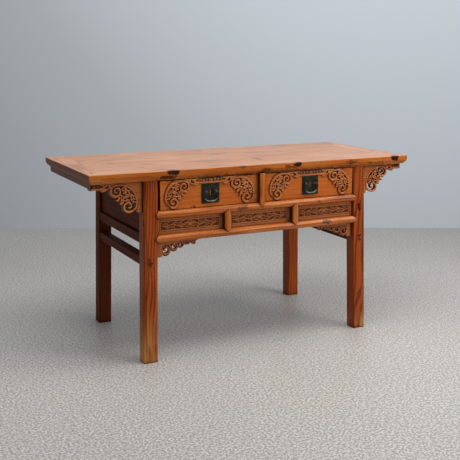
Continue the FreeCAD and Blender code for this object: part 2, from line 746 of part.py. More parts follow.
def build_ends():
    rail_outer = given("side_rail_recess") - leg_outer(side_rail_top)
    legs = [front_left_stock, rear_left_stock]
    reach = given("side_tenon")
    back = leg_back(side_rail_base)
    panel_outer = given("side_panel_recess") - leg_outer(underside)
    panel_front = leg_back(side_rail_top) - given("side_panel_entry")
    panel_cuts = []
    panel = tenon(
        "side_panel_left", (panel_outer, panel_outer + given("side_panel_thick")), (panel_front, -panel_front),
        (side_rail_top - given("side_panel_seat"), underside), panel_cuts, front_leg_cuts, rear_leg_cuts)
    keep_pair(panel, "side_panel")

    bar = prism(
        "side_rail_bar", "XZ_Plane",
        rounded_bar(rail_outer, given("side_rail_width"), side_rail_base, side_rail_top,
                    given("side_rail_round")),
        back - OVERRUN, -back + OVERRUN)
    middle = rail_outer + given("side_rail_width") / 2
    ends = end_tenons("side_rail", spread((middle, middle), given("tenon_thick") / 2), back, back - reach,
                      (side_rail_base + given("tenon_shoulder"), side_rail_top - given("side_panel_seat")
                       - given("tenon_shoulder")))
    floor_groove = block(
        "side_floor_groove", (-floor_reach() - FIT, -floor_reach() + given("side_rail_width")),
        (back, -back), (floor_base() - FIT, floor_base() + given("floor_thick") + FIT))
    shaped = cut("side_rail_shaped", bar, legs + panel_cuts + [floor_groove])
    keep_pair(fused("side_rail_left", [shaped] + ends), "side_rail")

    width = given("stretcher_width")
    outer = given("stretcher_recess") - leg_outer(stretcher_middle)
    turn = given("stretcher_round")
    bow = turn * QUARTER_BULGE_SHARE
    section = [
        (outer, stretcher_base + turn), (outer + turn, stretcher_base, bow),
        (outer + width - turn, stretcher_base), (outer + width, stretcher_base + turn, bow),
        (outer + width, stretcher_top - turn), (outer + width - turn, stretcher_top, bow),
        (outer + turn, stretcher_top), (outer, stretcher_top - turn, bow)]
    shoulder = leg_back(stretcher_base)
    bar = prism("stretcher_bar", "XZ_Plane", section, shoulder - OVERRUN, -shoulder + OVERRUN)
    shaped = cut("stretcher_shaped", bar, legs)
    middle = outer + width / 2
    ends = end_tenons("stretcher", spread((middle, middle), given("stretcher_tenon") / 2), shoulder,
                      leg_front(stretcher_top) + given("tenon_flush"),
                      (stretcher_base + given("stretcher_shoulder"), stretcher_top - given("stretcher_shoulder")))
    keep_pair(fused("side_stretcher_left", [shaped] + ends), "side_stretcher")


def end_tenons(name, across, root, end, rise):
    """Tenons at the front and the rear end of a side member."""
    front = tenon(name + "_tenon_front", across, (end, root + OVERRUN), rise, front_leg_cuts)
    rear = tenon(name + "_tenon_rear", across, (-root - OVERRUN, -end), rise, rear_leg_cuts)
    return [front, rear]


# Back rails and panels, and the floor of the closed store
def floor_base():
    return lower_rail_base + given("floor_rise")


def floor_reach():
    """Half the length of the store's floor, which is grooved into the side rails."""
    inner = leg_outer(side_rail_top) - given("side_rail_recess") - given("side_rail_width")
    return inner + given("floor_entry")


rear_back = -leg_front(underside) - given("rear_inset")
rear_front = rear_back - given("rear_rail_depth")


def build_rear_and_floor():
    legs = [rear_left_stock, rear_right_stock]
    floor = block(
        "store_floor_stock", spread((ZERO, ZERO), floor_reach()),
        (lower_face + given("rail_depth") - given("floor_entry"), rear_front + given("floor_entry")),
        (floor_base(), floor_base() + given("floor_thick")))
    groove = block(
        "store_floor_groove", spread((ZERO, ZERO), floor_reach() + FIT),
        (lower_face + given("rail_depth") - given("floor_entry") - FIT,
         rear_front + given("floor_entry") + FIT),
        (floor_base() - FIT, floor_base() + given("floor_thick") + FIT))
    lower_rail_cuts.append(groove)
    rear_lower_cuts.append(groove)
    notches = [front_left_stock, front_right_stock] + legs
    keep(cut("store_floor", floor, notches), "store_floor")

    panel_back = rear_back - given("rear_panel_inset")
    panel_front = panel_back - given("rear_panel_thick")
    shelf = given("panel_entry")
    spans = (
        ("upper", upper_rail_top, underside, (rear_upper_cuts,), ZERO),
        ("lower", lower_rail_top, upper_rail_base, (rear_upper_cuts, rear_lower_cuts), shelf))
    for level, low, high, rails, rise in spans:
        half = leg_inner(high) + shelf
        panel = tenon("rear_panel_" + level, (-half, half), (panel_front, panel_back),
                      (low - shelf, high + rise), rear_leg_cuts, *rails)
        keep(panel, "rear_panel_" + level)

    levels = (("upper", upper_rail_base, upper_rail_top, rear_upper_cuts),
              ("lower", lower_rail_base, lower_rail_top, rear_lower_cuts))
    for level, low, high, cuts in levels:
        reach = leg_inner(low) + OVERRUN
        stock = block("rear_rail_stock_" + level, (-reach, reach), (rear_front, rear_back), (low, high))
        ends = rail_tenons("rear_rail_" + level, low, high,
                           rear_front + (given("rear_rail_depth") - given("tenon_thick")) / 2, rear_leg_cuts)
        shaped = cut("rear_rail_shaped_" + level, stock, legs + cuts)
        keep(fused("rear_rail_" + level, [shaped] + ends), "rear_rail_" + level)


# Drawer runners, housed in the upper rails
drawer_base = upper_rail_top + given("drawer_under")
runner_top = drawer_base - given("runner_gap")
runner_base = runner_top - given("runner_thick")


def build_runners():
    front = upper_face + given("rail_depth") - given("runner_entry")
    back = rear_front + given("runner_entry")
    rail_back = upper_face + given("rail_depth")
    outer = leg_inner(upper_rail_top) - given("runner_leg_gap")
    inner = outer - given("runner_width")
    left = tenon("drawer_runner_left", (-outer, -inner), (front, back), (runner_base, runner_top),
                 upper_rail_cuts, rear_upper_cuts)
    for cuts in (upper_rail_cuts, rear_upper_cuts):
        cuts.append(mirrored("runner_housing_right_%d" % len(cuts), cuts[-1], LEFT_TO_RIGHT))
    keep_pair(left, "drawer_runner")
    half = given("middle_runner_width") / 2
    shelf = tenon("middle_runner_shelf", (-half, half), (front, back), (runner_base, runner_top),
                  upper_rail_cuts, rear_upper_cuts)
    guide_half = given("guide_width") / 2
    guide = block("middle_runner_guide", (-guide_half, guide_half), (rail_back, rear_front),
                  (runner_top - OVERRUN, runner_top + given("guide_height")))
    keep(fused("drawer_runner_middle", [shelf, guide]), "drawer_runner_middle")


# Carved boards. The scrollwork is pierced with crescents: each is the gap that a
# scroll leaves as it curls. Places and sizes are shares of the board's drop, from
# the corner at the leg and the top, outward and down.
# Each point: outward share, down share, bow of the edge that ends there as a share
# of that edge.
SCROLL_EDGE_SHARES = (
    (1.35, 0.19, 0.0), (1.21, 0.25, 0.28), (1.07, 0.27, -0.12), (0.90, 0.465, 0.26),
    (0.93, 0.60, 0.12), (0.80, 0.575, 0.17), (0.80, 0.71, 0.12), (0.655, 0.70, 0.17),
    (0.47, 0.975, 0.36), (0.29, 0.90, 0.12))
SPANDREL_FOOT_SHARES = ((0.19, 0.93, -0.22), (0.11, 1.0, 0.22), (0.0, 1.0, 0.0))
# Each crescent: outward, down, radius, depth, facing in degrees, span in degrees.
CRESCENT_SHARES = (
    (0.65, 0.50, 0.42, 0.050, 126, 74), (0.65, 0.50, 0.42, 0.055, 188, 34),
    (0.835, 0.262, 0.150, 0.085, 58, 225), (0.835, 0.262, 0.050, 0.050, 215, 200),
    (0.450, 0.768, 0.150, 0.085, 230, 225), (0.450, 0.768, 0.050, 0.050, 27, 200),
    (0.500, 0.350, 0.070, 0.055, 140, 200), (0.600, 0.270, 0.048, 0.042, 120, 200),
    (0.395, 0.500, 0.060, 0.055, 170, 200), (0.560, 0.500, 0.075, 0.060, 300, 200),
    (0.735, 0.440, 0.055, 0.050, 40, 200), (0.680, 0.585, 0.055, 0.050, 330, 180),
    (0.530, 0.630, 0.050, 0.045, 90, 180), (1.150, 0.105, 0.070, 0.060, 250, 200),
    (1.310, 0.085, 0.042, 0.034, 290, 190))


def flat_point(outward, down, places):
    """Point of a carved board: places gives its corner, its direction and its Y."""
    return FreeCAD.Vector(
        places["corner"] + places["outward"] * outward, places["front"], places["top"] - down)


def flat_edge(start, end, bow):
    """Straight or bowed edge between two points of an upright board."""
    if not bow:
        return Part.LineSegment(start, end).toShape()
    along = end - start
    side = FreeCAD.Vector(-along.z, 0, along.x) * bow
    return Part.Arc(start, (start + end) * 0.5 + side, end).toShape()


def crescent(outward, down, radius, depth, facing, span, places):
    """Sickle shaped hole round a centre, widest towards its facing angle."""
    def around(distance, degrees):
        turn = math.radians(degrees)
        return flat_point(outward + distance * math.cos(turn), down - distance * math.sin(turn), places)

    first = around(radius, facing - span / 2)
    last = around(radius, facing + span / 2)
    outer = Part.Arc(first, around(radius, facing), last).toShape()
    inner = Part.Arc(last, around(radius - depth, facing), first).toShape()
    return Part.Face(Part.Wire([outer, inner]))


def carved_board(points, crescents, drop, places, thick):
    """Upright board from an outline of (outward, down, bow) points, with its piercings."""
    mirror = places["outward"]
    vertices = [flat_point(point[0], point[1], places) for point in points]
    edges = []
    for index, start in enumerate(vertices):
        following = (index + 1) % len(vertices)
        edges.append(flat_edge(start, vertices[following], points[following][2] * mirror))
    face = Part.Face(Part.Wire(edges))
    for outward, down, radius, depth, facing, span in crescents:
        hole = crescent(outward * drop, down * drop, radius * drop, depth * drop, facing, span, places)
        face = face.cut(hole)
    return face.extrude(FreeCAD.Vector(0, thick, 0))


def scroll_edge(drop):
    return [(out * drop, down * drop, bow) for out, down, bow in SCROLL_EDGE_SHARES]


def carved_piece(name, shape):
    piece = doc.addObject("Part::Feature", name)
    piece.Shape = shape
    piece.Placement = FreeCAD.Placement()
    return keep(piece, name)


def build_spandrels():
    drop = given("carving_drop").value
    arm = given("spandrel_arm").value
    front = (leg_front(underside) + given("spandrel_recess")).value
    thick = given("spandrel_thick").value
    reach_to = (half_length - given("end_inset")).value
    foot_level = underside - given("carving_drop")
    inner_top = (leg_outer(underside) + given("carved_gap")).value
    inner_foot = (leg_outer(foot_level) + given("carved_gap")).value
    reach = reach_to - inner_top
    lean = inner_foot - inner_top
    foot = [(out * drop, down * drop, bow) for out, down, bow in SPANDREL_FOOT_SHARES[:-1]]
    outline = [(0, 0, 0), (reach, 0, 0), (reach, arm, 0), (SCROLL_EDGE_SHARES[0][0] * drop, arm, 0)]
    outline += scroll_edge(drop)[1:] + foot + [(lean, drop, 0)]
    for side, outward in (("left", -1), ("right", 1)):
        places = {"corner": outward * inner_top, "outward": outward, "front": front,
                  "top": underside.value}
        carved_piece("side_spandrel_" + side, carved_board(outline, CRESCENT_SHARES, drop, places, thick))


# Brackets under the lower rail: a block at the leg and scallops out to a point
BRACKET_EDGE_SHARES = (
    (0.81, 0.19, 0.14), (0.80, 0.26, 0.0), (0.65, 0.32, 0.20), (0.64, 0.41, 0.0), (0.50, 0.48, 0.22),
    (0.49, 0.58, 0.0), (0.33, 0.66, 0.24), (0.32, 0.76, 0.0), (0.13, 0.90, 0.26), (0.12, 1.0, 0.0))
# Each crescent: along and down as shares of the bracket's length and drop, then its
# radius and depth as shares of the drop, facing and span.
BRACKET_CRESCENT_SHARES = (
    (0.225, 0.56, 0.27, 0.15, 250, 200), (0.225, 0.56, 0.10, 0.09, 60, 200),
    (0.255, 0.16, 0.10, 0.08, 80, 170), (0.410, 0.39, 0.20, 0.12, 250, 200),
    (0.410, 0.39, 0.075, 0.07, 60, 190), (0.560, 0.27, 0.14, 0.09, 240, 200),
    (0.690, 0.18, 0.09, 0.07, 60, 200), (0.840, 0.10, 0.050, 0.045, 220, 180))


def build_brackets():
    length = given("bracket_length").value
    drop = given("bracket_drop").value
    front = (lower_face + given("bracket_recess")).value
    inner_top = (leg_inner(lower_rail_base) - given("carved_gap")).value
    inner_foot = (leg_inner(lower_rail_base - given("bracket_drop")) - given("carved_gap")).value
    lean = inner_top - inner_foot
    outline = [(0, 0, 0), (length, 0, 0)]
    outline += [(out * length, down * drop, bow) for out, down, bow in BRACKET_EDGE_SHARES]
    outline.append((lean, drop, 0))
    crescents = [
        (out * length / drop, down, radius, depth, facing, span)
        for out, down, radius, depth, facing, span in BRACKET_CRESCENT_SHARES]
    for side, outward in (("left", 1), ("right", -1)):
        places = {"corner": -outward * inner_top, "outward": outward, "front": front,
                  "top": lower_rail_base.value}
        carved_piece("corner_bracket_" + side,
                     carved_board(outline, crescents, drop, places, given("bracket_thick").value))


def build_end_aprons():
    """Strips under the top's ends, behind the spandrels' arms, with drooping corners."""
    outer = given("end_inset") - half_length
    front = leg_front(underside) + given("spandrel_recess") + given("spandrel_thick")
    rear = -leg_front(underside) - given("apron_rear")
    base = underside - given("apron_drop")
    shelf = base + given("apron_step")
    turn = given("apron_round")
    bow = turn * QUARTER_BULGE_SHARE
    foot = front + given("apron_foot")
    outline = [
        (front, base), (foot, base), (foot + turn, shelf, given("apron_step") / 4), (rear - turn, shelf),
        (rear, shelf + turn, bow), (rear, underside), (front, underside)]
    apron = prism("end_apron_left", "YZ_Plane", outline, outer, outer + given("apron_thick"))
    keep_pair(apron, "end_apron")


# Drawers
front_face = upper_face + given("drawer_recess")
drawer_top = underside - given("drawer_over")
drawer_rear = rear_front - given("drawer_gap_rear")
bay_width = leg_inner(underside) - given("divider_width") / 2
bay_middle = (leg_inner(underside) + given("divider_width") / 2) / 2
drawer_half = (bay_width - given("drawer_gap_left") - given("drawer_gap_right")) / 2
drawer_shift = (given("drawer_gap_left") - given("drawer_gap_right")) / 2
# How far a drawer's mass of scrollwork reaches beside the plate, its head and its
# side, as shares of its drop
MASS_REACH_SHARE = 0.98
EGG_TOP_SHARE = 0.70
EGG_SIDE_SHARES = ((0.175, 0.50, 0.21), (0.34, 0.88, 0.15))


def tail_comb(edge, tip, base, top, count):
    """Points of the dovetails at one end of a drawer's side, from its foot up."""
    narrow = given("tail_narrow")
    flare = given("tail_flare")
    pitch = (top - base) / count
    points = []
    for number in range(count):
        middle = base + pitch * (number + 0.5)
        points += [
            (edge, middle - narrow / 2), (tip, middle - narrow / 2 - flare),
            (tip, middle + narrow / 2 + flare), (edge, middle + narrow / 2)]
    return points


def drawer_side(name, low, high, bottom_cut):
    """Side with half blind dovetails to the front and through ones to the back."""
    base = drawer_base
    top = drawer_base + given("drawer_side_height")
    front = front_face + given("drawer_front_thick")
    rear = drawer_rear - given("drawer_back_thick")
    count = 3
    outline = [(front, base), (rear, base)]
    outline += tail_comb(rear, drawer_rear, base, top, count)
    outline += [(rear, top), (front, top)]
    outline += tail_comb(front, front - given("tail_length"), base, top, count)[::-1]
    board = prism(name + "_board", "YZ_Plane", outline, low, high)
    return cut(name, board, [bottom_cut])


def build_drawer(side, centre):
    stem = "drawer_" + side
    thick = given("drawer_side_thick")
    left = centre - drawer_half
    right = centre + drawer_half
    side_top = drawer_base + given("drawer_side_height")
    front_back = front_face + given("drawer_front_thick")
    rear = drawer_rear - given("drawer_back_thick")
    bottom_base = drawer_base + given("drawer_bottom_rise")
    bottom_top = bottom_base + given("drawer_bottom_thick")
    bite = given("drawer_bottom_entry")

    grooves = []
    bottom = tenon(stem + "_bottom", (left + thick - bite, right - thick + bite),
                   (front_back - bite, drawer_rear), (bottom_base, bottom_top), grooves)
    side_left = drawer_side(stem + "_side_left", left, left + thick, grooves[0])
    side_right = drawer_side(stem + "_side_right", right - thick, right, grooves[0])
    front_stock = block(stem + "_front_stock", (left, right), (front_face, front_back),
                        (drawer_base, drawer_top))
    back_stock = block(stem + "_back_stock", (left, right), (rear, drawer_rear), (bottom_top, side_top))

    middle = drawer_base + given("plate_level")
    post_level = middle + given("post_rise")
    post_out = front_face - given("plate_thick") - given("post_stand")
    posts, stems = build_posts(stem, centre, post_level, post_out)
    plate = build_plate(stem, centre, middle, stems)
    front = cut(stem + "_front", front_stock, [side_left, side_right, grooves[0]] + stems)
    back = cut(stem + "_back", back_stock, [side_left, side_right])

    keep(front, stem + "_front")
    keep(side_left, stem + "_side_left")
    keep(side_right, stem + "_side_right")
    keep(back, stem + "_back")
    keep(bottom, stem + "_bottom")
    build_drawer_carving(stem + "_carving", centre.value)
    keep(plate, stem + "_lock_plate")
    keep(posts, stem + "_bail_posts")
    keep(build_bail(stem + "_bail", centre, post_level, post_out), stem + "_bail")


def build_drawer_carving(name, centre):
    """Two masses of scrollwork joined by a strip, sawn from one thin board."""
    corner = drawer_half.value + given("mass_overhang").value
    room = corner - given("plate_size").value / 2 - given("mass_clearance").value
    drop = min(given("mass_drop").value, room / MASS_REACH_SHARE)
    strip = given("strip_drop").value
    thick = given("carving_thick").value
    gap = given("carving_top_gap").value
    outline = [(corner, gap, 0), (corner, strip, 0), (SCROLL_EDGE_SHARES[0][0] * drop, strip, 0)]
    outline += scroll_edge(drop)[1:-1]
    outline += [(out * drop, down * drop, bow) for out, down, bow in reversed(EGG_SIDE_SHARES)]
    outline.append((EGG_TOP_SHARE * drop, gap, EGG_SIDE_SHARES[0][2]))
    halves = []
    for outward in (1, -1):
        places = {"corner": centre - outward * corner, "outward": outward,
                  "front": front_face.value - thick, "top": underside.value}
        halves.append(carved_board(outline, CRESCENT_SHARES, drop, places, thick))
    carved_piece(name, halves[0].fuse(halves[1]).removeSplitter())


# Plates, posts and drop handles
def build_plate(stem, centre, middle, stems):
    """Square plate with soft corners, a bevelled face and an upright slot."""
    half = given("plate_size") / 2
    turn = given("plate_corner")
    bow = turn * QUARTER_BULGE_SHARE
    low = middle - half
    high = middle + half
    left = centre - half
    right = centre + half
    outline = [
        (left + turn, low, bow), (right - turn, low), (right, low + turn, bow), (right, high - turn),
        (right - turn, high, bow), (left + turn, high), (left, high - turn, bow), (left, low + turn)]
    front = front_face - given("plate_thick")
    body = prism(stem + "_plate", "XZ_Plane", outline, front, front_face)
    doc.recompute()
    pad = body.Tip
    faces = pad.Shape.Faces
    face_name = "Face%d" % (1 + min(range(len(faces)), key=lambda number: faces[number].CenterOfMass.y))
    bevel = body.newObject("PartDesign::Chamfer", stem + "_plate_bevel")
    bevel.Base = (pad, [face_name])
    bevel.setExpression("Size", given("plate_bevel").text)
    body.Tip = bevel
    slot_middle = middle + given("key_slot_rise")
    slot_half = given("key_slot_width") / 2
    slot_rise = given("key_slot_height") / 2
    slot = block(stem + "_plate_slot", (centre - slot_half, centre + slot_half),
                 (front - OVERRUN, front_face + OVERRUN), (slot_middle - slot_rise, slot_middle + slot_rise))
    return cut(stem + "_lock_plate", body, [slot] + stems)


def build_posts(stem, centre, level, out):
    """Two split posts with round heads that the bail turns in, and their roses."""
    plate_face = front_face - given("plate_thick")
    back = front_face + given("drawer_front_thick")
    spacing = given("post_offset")
    posts = []
    holes = []
    for side, offset in (("a", -spacing), ("b", spacing)):
        place = centre + offset
        name = "%s_post_%s" % (stem, side)
        head = doc.addObject("Part::Sphere", name + "_head")
        head.setExpression("Radius", given("post_head").text)
        for axis, value in zip("xyz", (place, out, level)):
            head.setExpression(".Placement.Base." + axis, value.text)
        shank = rod(name + "_shank", "y", (place, out, level), given("post_radius"), out, back)
        rose = rod(name + "_rose", "y", (place, out, level), given("rose_radius"),
                   plate_face - given("rose_thick"), plate_face)
        eye = rod(name + "_eye", "x", (place, out, level), given("bail_radius") + given("bail_play"),
                  place - given("post_head") - OVERRUN, place + given("post_head") + OVERRUN)
        posts.append(cut(name, fused(name + "_solid", [head, shank, rose]), [eye]))
        holes.append(rod(name + "_hole", "y", (place, out, level), given("post_radius") + FIT,
                         plate_face - OVERRUN, back + OVERRUN))
    pair = doc.addObject("Part::Compound", stem + "_bail_posts")
    pair.Links = posts
    return pair, holes


def build_bail(name, centre, level, out):
    """Bail bent from one rod: in through each post, over a shoulder and round below."""
    body = doc.addObject("PartDesign::Body", name)
    reach = given("bail_reach")
    turn = given("bail_shoulder")
    start = given("post_offset") - given("bail_stub")
    spine = body.newObject("Sketcher::SketchObject", name + "_path")
    spine.AttachmentSupport = [(origin_plane(body, "XZ_Plane"), "")]
    spine.MapMode = "FlatFace"
    spine.AttachmentOffset = FreeCAD.Placement(FreeCAD.Vector(0, 0, -out.value), FreeCAD.Rotation())
    spine.setExpression(".AttachmentOffset.Base.z", (-out).text)
    bow = turn * QUARTER_BULGE_SHARE
    swing = reach * QUARTER_BULGE_SHARE
    stops = [
        (centre - start, level), (centre - reach + turn, level), (centre - reach, level - turn, bow),
        (centre, level - turn - reach, swing), (centre + reach, level - turn, swing),
        (centre + reach - turn, level, bow), (centre + start, level)]
    draw_open(spine, stops)
    section = body.newObject("Sketcher::SketchObject", name + "_section")
    section.AttachmentSupport = [(origin_plane(body, "YZ_Plane"), "")]
    section.MapMode = "FlatFace"
    section.AttachmentOffset = FreeCAD.Placement(
        FreeCAD.Vector(0, 0, (centre - start).value), FreeCAD.Rotation())
    section.setExpression(".AttachmentOffset.Base.z", (centre - start).text)
    circle = Part.Circle(FreeCAD.Vector(out.value, level.value, 0), FreeCAD.Vector(0, 0, 1),
                         given("bail_radius").value)
    section.addGeometry(circle, False)
    section.addConstraint([
        Sketcher.Constraint("DistanceX", -1, 1, 0, 3, out.value),
        Sketcher.Constraint("DistanceY", -1, 1, 0, 3, level.value),
        Sketcher.Constraint("Radius", 0, given("bail_radius").value)])
    for number, formula in enumerate((out.text, level.text, given("bail_radius").text)):
        section.setExpression("Constraints[%d]" % number, formula)
    pipe = body.newObject("PartDesign::AdditivePipe", name + "_rod")
    pipe.Profile = section
    pipe.Spine = spine
    body.Tip = pipe
    return body


def draw_open(sketch, stops):
    """Open path of lines and arcs; a third entry bows the edge that ends there."""
    edges = []
    constraints = []
    formulas = []
    for index in range(len(stops) - 1):
        bulge = stops[index + 1][2] if len(stops[index + 1]) > 2 else None
        edges.append(edge_between(stops[index], stops[index + 1], bulge))
        if bulge is not None:
            radius = arc_radius(stops[index], stops[index + 1], bulge)
            constraints.append(Sketcher.Constraint("Radius", index, radius.value))
            formulas.append(radius.text)
        if index:
            constraints.append(
                Sketcher.Constraint("Coincident", index - 1, edges[index - 1][2], index, edges[index][1]))
            formulas.append(None)
    sketch.addGeometry([edge[0] for edge in edges], False)
    for index, stop in enumerate(stops):
        edge, end = (index, 1) if index < len(edges) else (index - 1, 2)
        point = edges[edge][end]
        for kind, place in (("DistanceX", stop[0]), ("DistanceY", stop[1])):
            constraints.append(Sketcher.Constraint(kind, -1, 1, edge, point, place.value))
            formulas.append(place.text)
    sketch.addConstraint(constraints)
    for number, formula in enumerate(formulas):
        if formula:
            sketch.setExpression("Constraints[%d]" % number, formula)


def build_legs():
    """Tenons on the legs' heads, mortises and grooves in their sides."""
    half = given("leg_tenon") / 2
    middle_x = given("leg_size") / 2 - leg_outer(underside)
    middle_y = leg_front(underside) + given("leg_size") / 2
    head = tenon("leg_head_tenon", (middle_x - half, middle_x + half), (middle_y - half, middle_y + half),
                 (underside, underside + given("leg_tenon")), long_member_cuts)
    long_member_cuts.append(mirrored("leg_mortise_right", long_member_cuts[-1], LEFT_TO_RIGHT))
    rear_head = mirrored("leg_head_tenon_rear", head, FRONT_TO_BACK)
    front = fused("leg_front_left", [cut("leg_front_shaped", front_left_stock, front_leg_cuts), head])
    rear = fused("leg_rear_left", [cut("leg_rear_shaped", rear_left_stock, rear_leg_cuts), rear_head])
    keep_pair(front, "leg_front")
    keep_pair(rear, "leg_rear")


def build_front_rails():
    levels = (
        ("upper", upper_rail_stock, upper_rail_base, upper_rail_top, upper_face, upper_rail_cuts),
        ("lower", lower_rail_stock, lower_rail_base, lower_rail_top, lower_face, lower_rail_cuts))
    for level, stock, low, high, face, cuts in levels:
        name = "front_rail_" + level
        ends = rail_tenons(name, low, high, face + given("tenon_back"), front_leg_cuts)
        shaped = cut(name + "_shaped", stock, cuts)
        keep(fused(name, [shaped] + ends), name)


build_waist_panels()
build_divider_and_struts()
build_ends()
build_runners()
build_rear_and_floor()
build_front_rails()
build_legs()
build_top()
build_spandrels()
build_brackets()
build_end_aprons()
for drawer_name, bay in (("left", -1), ("right", 1)):
    build_drawer(drawer_name, bay_middle * bay + drawer_shift)

doc.recompute()

faulty = [item.Name for item in doc.Objects if "Invalid" in item.State or "Error" in item.State]
if faulty:
    raise RuntimeError("failed objects: " + ", ".join(faulty))
for piece in pieces:
    if piece.Shape.isNull() or not piece.Shape.isValid():
        raise RuntimeError(piece.Label + " has no valid shape")

os.makedirs("parts", exist_ok=True)
for piece in pieces:
    piece.Shape.exportStep("parts/%s.step" % piece.Label)
    box = piece.Shape.BoundBox
    print("%-28s solids %d  x %8.2f %8.2f  y %8.2f %8.2f  z %8.2f %8.2f" % (
        piece.Label, len(piece.Shape.Solids), box.XMin, box.XMax, box.YMin, box.YMax, box.ZMin, box.ZMax))
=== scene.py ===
import math

import bpy
import numpy as np
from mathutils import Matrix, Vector


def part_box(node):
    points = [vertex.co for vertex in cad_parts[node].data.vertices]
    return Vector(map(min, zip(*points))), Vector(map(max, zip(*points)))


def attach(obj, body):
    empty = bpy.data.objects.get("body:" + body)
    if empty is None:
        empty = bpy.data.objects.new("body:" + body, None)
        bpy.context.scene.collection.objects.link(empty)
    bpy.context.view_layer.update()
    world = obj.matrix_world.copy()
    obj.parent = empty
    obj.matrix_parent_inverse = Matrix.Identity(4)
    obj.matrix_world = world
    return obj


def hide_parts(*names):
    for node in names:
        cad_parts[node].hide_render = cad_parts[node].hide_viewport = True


# Looks of an old altar table: waxed orange brown wood with a worn lacquer, pierced
# and relief carving, dark bronze plates. Metres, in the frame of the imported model.

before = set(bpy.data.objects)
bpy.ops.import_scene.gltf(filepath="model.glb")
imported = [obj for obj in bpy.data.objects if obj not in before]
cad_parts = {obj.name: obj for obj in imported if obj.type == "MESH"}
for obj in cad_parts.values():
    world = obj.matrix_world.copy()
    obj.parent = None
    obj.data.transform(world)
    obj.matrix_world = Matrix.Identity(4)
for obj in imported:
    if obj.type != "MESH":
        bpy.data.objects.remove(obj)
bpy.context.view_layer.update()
MM = 0.001


def node_box(node):
    low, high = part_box(node)
    return Vector(low), Vector(high)


# Colours, as linear values
def srgb(red, green, blue):
    """Linear colour of a screen colour from 0 to 255."""
    def linear(value):
        value /= 255
        return value / 12.92 if value <= 0.04045 else ((value + 0.055) / 1.055) ** 2.4
    return (linear(red), linear(green), linear(blue), 1.0)


SHADER_SAMPLES = 6


class Shader:
    """Short names for building a node tree."""

    def __init__(self, tree):
        self.tree = tree
        tree.nodes.clear()

    def node(self, kind, inputs=None, **settings):
        node = self.tree.nodes.new(kind)
        for key, value in settings.items():
            setattr(node, key, value)
        for key, value in (inputs or {}).items():
            if isinstance(value, bpy.types.NodeSocket):
                self.tree.links.new(value, node.inputs[key])
            else:
                node.inputs[key].default_value = value
        return node

    def maths(self, operation, first, second=0.0, third=0.0, clamp=False):
        node = self.node("ShaderNodeMath", {0: first, 1: second, 2: third},
                         operation=operation, use_clamp=clamp)
        return node.outputs[0]

    def mix(self, factor, first, second):
        return self.node("ShaderNodeMix", {0: factor, 6: first, 7: second}, data_type="RGBA").outputs[2]

    def combine(self, first, second, third):
        return self.node("ShaderNodeCombineXYZ", {0: first, 1: second, 2: third}).outputs[0]

    def noise(self, vector, scale, detail, roughness=0.5):
        node = self.node("ShaderNodeTexNoise", {"Vector": vector, "Scale": scale, "Detail": detail,
                                                "Roughness": roughness})
        return node.outputs[0]

    def band(self, value, low, high):
        """0 below low, 1 above high, smooth between them."""
        node = self.node("ShaderNodeMapRange", {0: value, 1: low, 2: high, 3: 0.0, 4: 1.0},
                         interpolation_type="SMOOTHSTEP")
        return node.outputs[0]

    def ramp(self, value, stops):
        node = self.node("ShaderNodeValToRGB", {0: value})
        ramp = node.color_ramp
        while len(ramp.elements) < len(stops):
            ramp.elements.new(0.5)
        for element, (place, colour) in zip(ramp.elements, stops):
            element.position = place
            element.color = colour
        return node.outputs[0]

    def spot(self, vector, centre, radii):
        """1 at the middle of an ellipsoid, falling to 0 at its skin."""
        moved = self.node("ShaderNodeMapping", {0: vector, 1: centre, 3: radii}, vector_type="TEXTURE")
        return self.node("ShaderNodeTexGradient", {0: moved.outputs[0]}, gradient_type="SPHERICAL").outputs[1]

    def dot(self, first, second):
        return self.node("ShaderNodeVectorMath", {0: first, 1: second}, operation="DOT_PRODUCT").outputs[1]

    def openness(self, reach):
        """Share of the directions round a place that are open within a reach."""
        return self.node("ShaderNodeAmbientOcclusion", {"Distance": reach}, samples=SHADER_SAMPLES).outputs[1]

    def rounded_edge(self, normal, radius, gain):
        """Normal with the edges rounded off, and how much it turned there, from 0 to 1."""
        rounded = self.node("ShaderNodeBevel", {"Radius": radius}, samples=SHADER_SAMPLES).outputs[0]
        turned = self.maths("SUBTRACT", 1.0, self.dot(rounded, normal))
        return rounded, self.maths("MULTIPLY", turned, gain, clamp=True)


def new_material(name):
    """New material, the tool that builds its nodes, and places in the table's frame."""
    material = bpy.data.materials.new(name)
    material.use_nodes = True
    shader = Shader(material.node_tree)
    return material, shader, shader.node("ShaderNodeTexCoord").outputs["Object"]


# Grain: the axis that it runs along, then the two across it. Noise scales are per metre
GRAIN_ORDER = {"x": (0, 1, 2), "y": (1, 0, 2), "z": (2, 0, 1)}
SEED_SHIFT = 3.7
RING_PITCH = 6.5 * MM
RING_SWIRL = 7.0
RING_SHARPNESS = 1.7
TONE_STOPS = (0.12, 0.42, 0.78)
PORE_SHARE = 0.40
STREAK_WEIGHT = 0.85
STREAK_LEVEL = 0.24
PATCH_WEIGHT = 0.55
PATCH_MIDDLE = 0.28

# Noises drawn out along the grain: scale along and across it, detail, roughness
BEND_NOISE = (1.6, 7.0, 2.0, 0.5)
STREAK_NOISE = (5.0, 190.0, 5.0, 0.62)
FIBRE_NOISE = (38.0, 1300.0, 3.0, 0.6)
PATCH_NOISE = (3.2, 11.0, 4.0, 0.6)
SCUFF_NOISE = (60.0, 160.0, 4.0, 0.65)

# Where each mask starts and is full
UPWARD_FADE = (0.35, 0.85)
PORE_FADE = (0.56, 0.74)
OPEN_AIR_FADE = (0.45, 0.85)
CREASE_FADE = (0.40, 0.80)
WEAR_FADE = (0.38, 0.62)
RUBBED_PATCH_FADE = (0.52, 0.72)
RUBBED_SCUFF_FADE = (0.42, 0.66)
FOOT_FADE = (0.30, 0.60)

